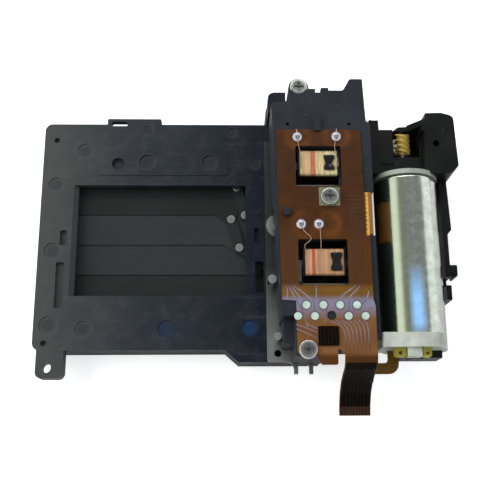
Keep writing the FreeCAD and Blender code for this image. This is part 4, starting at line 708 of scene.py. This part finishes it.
def zinc(colour, x_axis):
    """Plated can: soft spangle, small rubs, a painted green reflection on one side and a painted blue
    reflection, made to glow, low in the middle.
    """
    material, tree, shader = new_material("Plated can")
    fine = grain(tree, 1400.0, 700.0)
    x = axis_value(tree, 0)
    y = axis_value(tree, 1)
    rubs = ranged(tree, drawn(tree, (2400.0, 60.0, 2400.0)), 0.5, 0.75, 0.0, 0.3)
    tone = mixed(tree, rubs, shades(tree, fine["Mottle"], colour, 0.88, 1.15), CAN_RUBS)
    tone = dusted(tree, tone, 0.5, CAN_SPECKS, 2600.0)
    # Painted green reflection on one side of the can.
    green = product(tree, across(tree, x, (x_axis - 1.2, x_axis - 1.6)), 0.8)
    tone = mixed(tree, green, tone, CAN_GREEN_REFLECTION)
    # Painted blue reflection low in the middle of the can, made to glow.
    low = product(tree, across(tree, y, BLUE_REFLECTION_TOP), across(tree, y, BLUE_REFLECTION_BOTTOM))
    reflection_band = product(tree, across(tree, x, (x_axis - 1.6, x_axis - 0.6)),
                   across(tree, x, (x_axis + 1.4, x_axis + 0.2)))
    shader.inputs["Emission Strength"].default_value = 1.0
    blue_reflection_glow = mixed(tree, product(tree, low, reflection_band), (0.0, 0.0, 0.0), CAN_BLUE_REFLECTION)
    tree.links.new(blue_reflection_glow, shader.inputs["Emission Color"])
    dress(tree, shader, tone, ranged(tree, fine["Height"], 0.3, 0.7, 0.14, 0.24), metallic=1.0)
    bump(tree, shader, fine["Mottle"], 0.000002, 0.5)
    return material


def finish_node(name, material):
    """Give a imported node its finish."""
    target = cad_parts[name]
    if not target.material_slots:
        target.data.materials.append(material)
    for slot in target.material_slots:
        slot.material = material


# Shaping helpers

def settle(name, material, body):
    """Finish the active object: apply place, name it, give it its finish and its body."""
    made = bpy.context.object
    if bpy.context.mode != "OBJECT":
        bpy.ops.object.mode_set(mode="OBJECT")
    made.name = name
    made.data.name = name
    bpy.ops.object.transform_apply(location=True, rotation=True, scale=True)
    made.data.materials.clear()
    made.data.materials.append(material)
    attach(made, body)
    return made


def tubes(paths, diameter, steps, sides, kind="NURBS"):
    """Round tubes along the paths, in millimetres, made as one curve and turned to mesh."""
    bpy.ops.object.select_all(action="DESELECT")
    bpy.ops.curve.primitive_nurbs_path_add()
    curve = bpy.context.object.data
    curve.splines.clear()
    for points in paths:
        spline = curve.splines.new(kind)
        spline.points.add(len(points) - 1)
        for target, point in zip(spline.points, points):
            target.co = (*[value * MM for value in point], 1.0)
        spline.order_u = 3
        spline.use_endpoint_u = True
    curve.resolution_u = steps
    curve.dimensions = "3D"
    curve.bevel_depth = diameter / 2
    curve.bevel_resolution = sides
    curve.use_fill_caps = True
    bpy.ops.object.convert(target="MESH")
    bpy.ops.object.shade_smooth()


def drawn_wire(name, points, diameter, material, body, straight=False):
    """Thin wire along the points; straight keeps its corners."""
    tubes([points], diameter, 6, 0 if straight else 2, "POLY" if straight else "NURBS")
    return settle(name, material, body)


def flat_strips(name, paths, width, material, body, level):
    """Low rounded strips along the paths, which lie on one level, pressed flat."""
    tubes([[(x, y, level) for x, y in points] for points in paths], width, 8, 2)
    bpy.ops.object.transform_apply(location=True, rotation=True, scale=True)
    bpy.ops.object.mode_set(mode="EDIT")
    bpy.ops.mesh.select_all(action="SELECT")
    bpy.ops.transform.resize(value=(1.0, 1.0, STRIP_FLATNESS), center_override=(0.0, 0.0, level * MM))
    bpy.ops.object.mode_set(mode="OBJECT")
    return settle(name, material, body)


# Operators

class SHUTTER_OT_stage(Operator):
    """Floor, soft studio light and the camera at the photograph's angle"""

    bl_idname = "shutter.stage"
    bl_label = "Studio"

    def build_world(self, context):
        """White backdrop for the camera, soft dome for light, bright walls under a dim ceiling for gloss."""
        world = bpy.data.worlds.new("Studio")
        context.scene.world = world
        world.use_nodes = True
        tree = world.node_tree
        back = tree.nodes["Background"]
        back.inputs["Color"].default_value = BACKDROP
        path = tree.nodes.new("ShaderNodeLightPath")
        place = tree.nodes.new("ShaderNodeTexCoord")
        pressed = node(tree, "ShaderNodeVectorMath", operation="MULTIPLY")
        pressed.inputs[1].default_value = WORLD_PRESS
        tree.links.new(place.outputs["Generated"], pressed.inputs[0])
        unit = node(tree, "ShaderNodeVectorMath", operation="NORMALIZE")
        tree.links.new(pressed.outputs[0], unit.inputs[0])
        apart = tree.nodes.new("ShaderNodeSeparateXYZ")
        tree.links.new(unit.outputs[0], apart.inputs[0])
        left_wall = ranged(tree, apart.outputs[0], *LEFT_WALL)
        height = node(tree, "ShaderNodeMath", operation="ADD")
        tree.links.new(apart.outputs[2], height.inputs[0])
        tree.links.new(left_wall, height.inputs[1])
        walls = ranged(tree, height.outputs[0], *WALL_TOP, CEILING, WALLS)
        seen = node(tree, "ShaderNodeMath", operation="MAXIMUM")
        tree.links.new(path.outputs["Is Camera Ray"], seen.inputs[0])
        tree.links.new(path.outputs["Is Transmission Ray"], seen.inputs[1])
        gloss = tree.nodes.new("ShaderNodeMix")
        gloss.inputs[2].default_value = DOME
        tree.links.new(path.outputs["Is Glossy Ray"], gloss.inputs[0])
        tree.links.new(walls, gloss.inputs[3])
        level = tree.nodes.new("ShaderNodeMix")
        level.inputs[3].default_value = 1.0
        tree.links.new(seen.outputs[0], level.inputs[0])
        tree.links.new(gloss.outputs[0], level.inputs[2])
        tree.links.new(level.outputs[0], back.inputs["Strength"])

    def execute(self, context):
        sizes = context.scene.shutter_sizes
        bpy.ops.object.select_all(action="DESELECT")
        bpy.ops.mesh.primitive_plane_add(size=sizes.floor, location=(0.015, 0, -0.00005))
        floor = context.object
        floor.name = "studio_floor"
        material, tree, shader = new_material("Pale floor")
        dress(tree, shader, mixed(tree, grain(tree, 400.0)["Mottle"], *FLOOR_TONES), 0.9, gloss=0.1)
        shader.inputs["Emission Color"].default_value = (1.0, 1.0, 1.0, 1.0)
        path = tree.nodes.new("ShaderNodeLightPath")
        tree.links.new(ranged(tree, path.outputs["Is Camera Ray"], 0.0, 1.0, 0.0, FLOOR_LIFT),
                       shader.inputs["Emission Strength"])
        floor.data.materials.append(material)
        self.build_world(context)
        for name, place, width, height, power in LAMPS:
            bpy.ops.object.light_add(type="AREA", location=place)
            lamp = context.object
            lamp.name = "lamp_" + name
            lamp.data.shape = "RECTANGLE"
            lamp.data.size = width
            lamp.data.size_y = height
            lamp.data.energy = power
            lamp.visible_glossy = name == "top"
            lamp.rotation_mode = "QUATERNION"
            lamp.rotation_quaternion = (AIM - Vector(place)).to_track_quat("-Z", "Y")
        bpy.ops.object.camera_add()
        camera = context.object
        camera.name = "photo_camera"
        turn = Matrix((CAMERA_RIGHT, CAMERA_UP, CAMERA_BACK)).transposed()
        camera.matrix_world = Matrix.Translation(CAMERA_PLACE) @ turn.to_4x4()
        camera.data.lens = LENS
        camera.data.sensor_width = SENSOR
        camera.data.clip_start = 0.005
        camera.data.clip_end = 10.0
        context.scene.camera = camera
        context.scene.view_settings.view_transform = "Standard"
        return {"FINISHED"}


class SHUTTER_OT_mouldings(Operator):
    """Finishes of the base plate, cover, gearbox and other moulded pieces"""

    bl_idname = "shutter.mouldings"
    bl_label = "Mouldings"

    def execute(self, context):
        colours = context.scene.shutter_colours
        plate = plate_moulding(colours)
        cover = moulded("Moulded cover", colours.cover, size=3000.0, depth=0.00002)
        black = moulded("Gearbox black", colours.gearbox, rough=0.34, size=2600.0, depth=0.000012,
                        dust=0.05)
        grey = moulded("Grey gasket", (0.34, 0.39, 0.33), rough=0.5)
        rubber = moulded("Buffer rubber", (0.012, 0.012, 0.012), rough=0.8)
        cap = moulded("Off-white cap", colours.cap, rough=0.4, dust=0.0, patch=300.0)
        nylon = moulded("Natural acetal", (0.62, 0.6, 0.52), rough=0.35, dust=0.0)
        finish_node("base_plate", plate)
        finish_node("mechanism_cover", cover)
        for name in ("gearbox_housing", "motor_bracket", "motor_rear_cover", "first_bobbin",
                     "second_bobbin"):
            finish_node(name, black)
        finish_node("motor_gasket", grey)
        finish_node("arm_buffers", rubber)
        finish_node("motor_end_cap", cap)
        for name in ("worm_wheel", "idler_gear", "cam_gear"):
            finish_node(name, nylon)
        return {"FINISHED"}


class SHUTTER_OT_curtains(Operator):
    """Finishes of the blades, arms, rivets and the sheets they run between"""

    bl_idname = "shutter.curtains"
    bl_label = "Curtains"

    def execute(self, context):
        colours = context.scene.shutter_colours
        for curtain in ("first", "second"):
            # Each blade gets a lighter or darker copy of the paint as painted light and shade.
            for index, shade in enumerate(BLADE_SHADES, 1):
                paint = blade_paint("Blade paint %s %d" % (curtain, index), colours.blade, shade)
                finish_node("%s_blade_%d" % (curtain, index), paint)
            arm = blade_paint("Arm paint " + curtain, colours.blade, 1.0)
            finish_node(curtain + "_main_arm", arm)
            finish_node(curtain + "_sub_arm", arm)
            rivets = metal("Rivet steel " + curtain, (0.5, 0.51, 0.47), rough=0.3)
            finish_node(curtain + "_main_rivets", rivets)
            finish_node(curtain + "_sub_rivets", rivets)
        # The sheets get darker copies of the blade paint as painted shade.
        finish_node("partition_plate", blade_paint("Black sheet", colours.blade, 0.7))
        finish_node("rear_cover", blade_paint("Black steel", colours.blade, 0.85))
        return {"FINISHED"}


class SHUTTER_OT_metalwork(Operator):
    """Finishes of plates, levers, screws, yokes and springs"""

    bl_idname = "shutter.metalwork"
    bl_label = "Metalwork"

    def execute(self, context):
        colours = context.scene.shutter_colours
        # The cover's painted shadow falls on the plated sheet.
        plate = metal("Plated sheet", colours.steel, rough=0.34, stretch=(2600.0, 90.0, 2600.0),
                      dim=STEEL_PAINTED_SHADOW)
        turned = metal("Turned steel", (0.74, 0.74, 0.7), rough=0.2, stretch=(3000.0, 3000.0, 60.0))
        screw = screw_steel(colours)
        brass = metal("Turned brass", colours.brass, rough=0.26, stretch=(2200.0, 120.0, 2200.0),
                      stain=BRASS_STAIN, metallic=0.25)
        iron = metal("Soft iron", (0.34, 0.32, 0.3), rough=0.42)
        for name in ("steel_plate", "first_drive_lever", "second_drive_lever", "charge_lever",
                     "charge_slider", "leaf_spring"):
            finish_node(name, plate)
        for name in ("fixed_pins", "motor_shaft", "spacer_posts", "ratchet_wheel"):
            finish_node(name, turned)
        for name in ("cover_screws", "rear_screws"):
            finish_node(name, screw)
        finish_node("washer_plate", smooth_drop("Pale tab", colours.washer, 0.3))
        for name in ("first_armature", "second_armature", "first_yoke", "second_yoke"):
            finish_node(name, iron)
        spring = metal("Spring wire", (0.3, 0.29, 0.27), rough=0.3)
        finish_node("first_drive_spring", spring)
        finish_node("second_drive_spring", spring)
        finish_node("worm", brass)
        return {"FINISHED"}


class SHUTTER_OT_board(Operator):
    """Film, pads and solder of the circuit board"""

    bl_idname = "shutter.board"
    bl_label = "Circuit board"

    def execute(self, context):
        colours = context.scene.shutter_colours
        solder = metal("Solder", (0.6, 0.61, 0.66), rough=0.24, stretch=(1200.0, 1200.0, 1200.0))
        finish_node("flex_board", film(colours))
        finish_node("board_stiffener", tail_backing(colours.tail))
        finish_node("board_contacts", plated_pads(colours))
        finish_node("solder_joints", solder)
        flat_strips("board_traces", board_traces(), context.scene.shutter_sizes.trace, trace_film(colours),
                    "base", BOARD_FACE)
        return {"FINISHED"}


def board_traces():
    """Routes of the traces that show on the board's face, in millimetres."""
    paths = []
    for lane, x in enumerate((23.95, 24.4, 24.9, 25.35)):
        paths.append([(x + 0.1, -1.2 - 0.5 * lane), (x, -6.0), (x, -10.6), (x + 0.15, -11.1)])
    paths += [
        [(24.1, -11.0), (24.3, -12.0), (24.1, -12.9)],
        [(24.5, -11.0), (25.5, -12.8), (26.4, -14.4), (27.0, -16.2), (27.3, -17.4)],
        [(25.0, -11.0), (26.1, -12.5), (26.6, -13.1)],
        [(25.5, -10.9), (27.7, -12.6), (28.5, -13.3), (28.5, -14.9)],
        [(28.85, -10.7), (28.85, -12.2), (28.8, -13.2)],
        [(35.3, -10.6), (34.5, -11.3), (32.9, -12.3), (32.5, -13.2)],
        [(36.2, -10.2), (35.5, -11.4), (34.3, -12.3), (34.0, -13.4), (33.9, -15.0)],
        [(37.3, -11.6), (37.0, -13.2), (36.0, -13.8)],
        [(37.6, -14.2), (37.0, -14.9)],
        [(30.1, -12.9), (30.6, -14.0), (30.3, -15.0), (30.1, -16.6)],
        [(25.5, -17.0), (26.8, -17.4), (28.9, -18.3)],
        [(25.5, -17.7), (26.6, -18.1), (28.9, -19.3)],
        [(27.2, -16.9), (28.2, -17.4), (28.9, -17.7)],
    ]
    for lane in range(4):
        x = 35.1 + 0.5 * lane
        paths.append([(x - 0.1, 3.0 - 0.9 * lane), (x, -4.0), (x, -9.6), (x + 0.1, -10.4)])
    for row in range(9):
        y = 4.6 - 0.72 * row
        paths.append([(34.4 + 0.1 * (row % 3), y), (36.0, y), (37.6, y)])
    for lane in range(7):
        x = 33.3 + 0.62 * lane
        paths.append([(30.9 + 0.95 * lane, -16.5 + 0.05 * lane), (x - 0.9, -16.9 + 0.1 * lane),
                      (x - 0.15, -18.0 + 0.2 * lane), (x, -19.4), (x, -21.5)])
    return paths


class SHUTTER_OT_windings(Operator):
    """Copper windings, their glue drops and their leads"""

    bl_idname = "shutter.windings"
    bl_label = "Windings"

    def execute(self, context):
        colours = context.scene.shutter_colours
        sizes = context.scene.shutter_sizes
        glue = smooth_drop("Black glue", (0.008, 0.008, 0.009), 0.2)
        for name, red, drop, light in WINDINGS:
            low, high = (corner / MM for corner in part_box(name + "_coil"))
            copper = winding("Copper winding " + name, colours, *red, high.z, light)
            turns = wound_path(low, high, sizes.wire / MM)
            wound = drawn_wire(name + "_winding", turns, sizes.wire * 1.1, copper, "base",
                               straight=True)
            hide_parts(name + "_coil")
            self.glue_drop(name + "_glue", drop, (low.y + high.y) / 2, high.z, glue)
        lead = metal("Lead wire", (0.8, 0.52, 0.38), rough=0.3)
        for name, points in coil_leads().items():
            drawn_wire(name, points, sizes.lead, lead, "base")
        return {"FINISHED"}

    def glue_drop(self, name, drop, y, z, material):
        """Dark drop of glue over the lead's end: a pinched and rounded block."""
        x, width, length = drop
        bpy.ops.object.select_all(action="DESELECT")
        bpy.ops.mesh.primitive_cube_add(size=1.0, location=(x * MM, y * MM, (z + 0.05) * MM),
                                        scale=(width * MM, length * MM, GLUE_HEIGHT * MM))
        made = bpy.context.object
        bpy.ops.object.transform_apply(location=True, rotation=True, scale=True)
        bpy.ops.object.mode_set(mode="EDIT")
        bpy.ops.mesh.subdivide(number_cuts=4)
        bpy.ops.mesh.select_all(action="DESELECT")
        bpy.ops.object.mode_set(mode="OBJECT")
        for vertex in made.data.vertices:
            vertex.select = abs(vertex.co.y / MM - y) < length * 0.15
        bpy.ops.object.mode_set(mode="EDIT")
        bpy.ops.mesh.select_mode(type="VERT")
        bpy.ops.transform.resize(value=(GLUE_WAIST, 1.0, 0.9), center_override=(x * MM, y * MM, z * MM))
        bpy.ops.mesh.select_all(action="SELECT")
        bpy.ops.transform.vertex_random(offset=GLUE_UNEVEN * MM, seed=4)
        bpy.ops.object.mode_set(mode="OBJECT")
        rounding = made.modifiers.new("rounding", "SUBSURF")
        rounding.levels = 2
        rounding.render_levels = 2
        bpy.ops.object.modifier_apply(modifier="rounding")
        bpy.ops.object.shade_smooth()
        return settle(name, material, "base")


def wound_path(low, high, wire):
    """Turns of a winding on a square bobbin, in millimetres, with rounded corners."""
    y = (low.y + high.y) / 2
    z = (low.z + high.z) / 2
    half = (high.y - low.y) / 2 - wire * 0.6
    turns = int((high.x - low.x) / wire)
    flat = half - WINDING_CORNER
    ring = []
    for quarter in range(4):
        for step in range(CORNER_STEPS + 1):
            angle = math.radians(90 * quarter + 90 / CORNER_STEPS * step)
            ring.append((flat * (1 if quarter in (0, 3) else -1) + WINDING_CORNER * math.cos(angle),
                         flat * (1 if quarter in (0, 1) else -1) + WINDING_CORNER * math.sin(angle)))
    points = []
    for step in range(turns * len(ring)):
        side, height = ring[step % len(ring)]
        points.append((low.x + wire * (0.5 + step / len(ring)), y + side, z + height))
    return points


def coil_leads():
    """Route of each coil lead, in millimetres, from its solder joint to its coil."""
    top = BOARD_FACE
    return {
        "lead_upper_left": [(26.2, 16.4, top + 0.25), (26.4, 15.5, top + 0.62), (26.4, 14.3, top + 0.3),
                            (26.6, 13.2, top + 0.1), (26.9, 12.2, top - 0.3), (26.95, 11.0, top - 0.55),
                            (26.95, 9.8, top - 0.6)],
        "lead_upper_right": [(33.0, 16.5, top + 0.3), (33.0, 15.6, top + 0.62), (32.8, 14.2, top + 0.3),
                             (32.6, 13.3, top + 0.15), (32.9, 12.1, top - 0.25), (33.3, 10.8, top - 0.45),
                             (33.2, 9.9, top - 0.4), (32.6, 10.0, top - 0.35), (32.2, 10.5, top - 0.5)],
        "lead_lower_left": [(26.7, 0.3, top + 0.5), (26.7, -0.8, top + 0.4), (27.3, -1.9, top + 0.3),
                            (28.4, -2.7, top + 0.3), (27.9, -3.4, top + 0.1), (27.0, -3.8, top - 0.3),
                            (27.4, -4.6, top - 0.7)],
        "lead_lower_right": [(29.5, 0.4, top + 0.5), (29.7, -0.9, top + 0.4), (29.8, -2.4, top + 0.2),
                             (29.9, -3.9, top - 0.4), (29.9, -5.0, top - 0.62)],
    }


class SHUTTER_OT_motor(Operator):
    """Finishes of the motor can and its terminals"""

    bl_idname = "shutter.motor"
    bl_label = "Motor"

    def execute(self, context):
        colours = context.scene.shutter_colours
        low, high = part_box("motor_can")
        finish_node("motor_can", zinc(colours.zinc, (low.x + high.x) / 2 / MM))
        finish_node("motor_terminals", metal("Tinned brass", colours.terminals, rough=0.4))
        return {"FINISHED"}


class SHUTTER_PT_panel(Panel):
    """Lists the settings and the steps"""

    bl_label = "Shutter assembly"
    bl_idname = "SHUTTER_PT_panel"
    bl_space_type = "VIEW_3D"
    bl_region_type = "UI"
    bl_category = "Shutter"

    def draw(self, context):
        layout = self.layout
        for group in (context.scene.shutter_colours, context.scene.shutter_sizes):
            column = layout.column(align=True)
            for key in group.bl_rna.properties.keys():
                if key not in ("rna_type", "name"):
                    column.prop(group, key)
        for operator in STEPS:
            layout.operator(operator.bl_idname)


STEPS = (
    SHUTTER_OT_stage,
    SHUTTER_OT_mouldings,
    SHUTTER_OT_curtains,
    SHUTTER_OT_metalwork,
    SHUTTER_OT_board,
    SHUTTER_OT_windings,
    SHUTTER_OT_motor,
)
CLASSES = (ShutterColours, ShutterSizes, *STEPS, SHUTTER_PT_panel)


def register():
    for entry in CLASSES:
        bpy.utils.register_class(entry)
    bpy.types.Scene.shutter_colours = PointerProperty(type=ShutterColours)
    bpy.types.Scene.shutter_sizes = PointerProperty(type=ShutterSizes)


def unregister():
    del bpy.types.Scene.shutter_sizes
    del bpy.types.Scene.shutter_colours
    for entry in reversed(CLASSES):
        bpy.utils.unregister_class(entry)


def main():
    register()
    bpy.ops.shutter.stage()
    bpy.ops.shutter.mouldings()
    bpy.ops.shutter.curtains()
    bpy.ops.shutter.metalwork()
    bpy.ops.shutter.board()
    bpy.ops.shutter.windings()
    bpy.ops.shutter.motor()


if __name__ == "__main__":
    main()
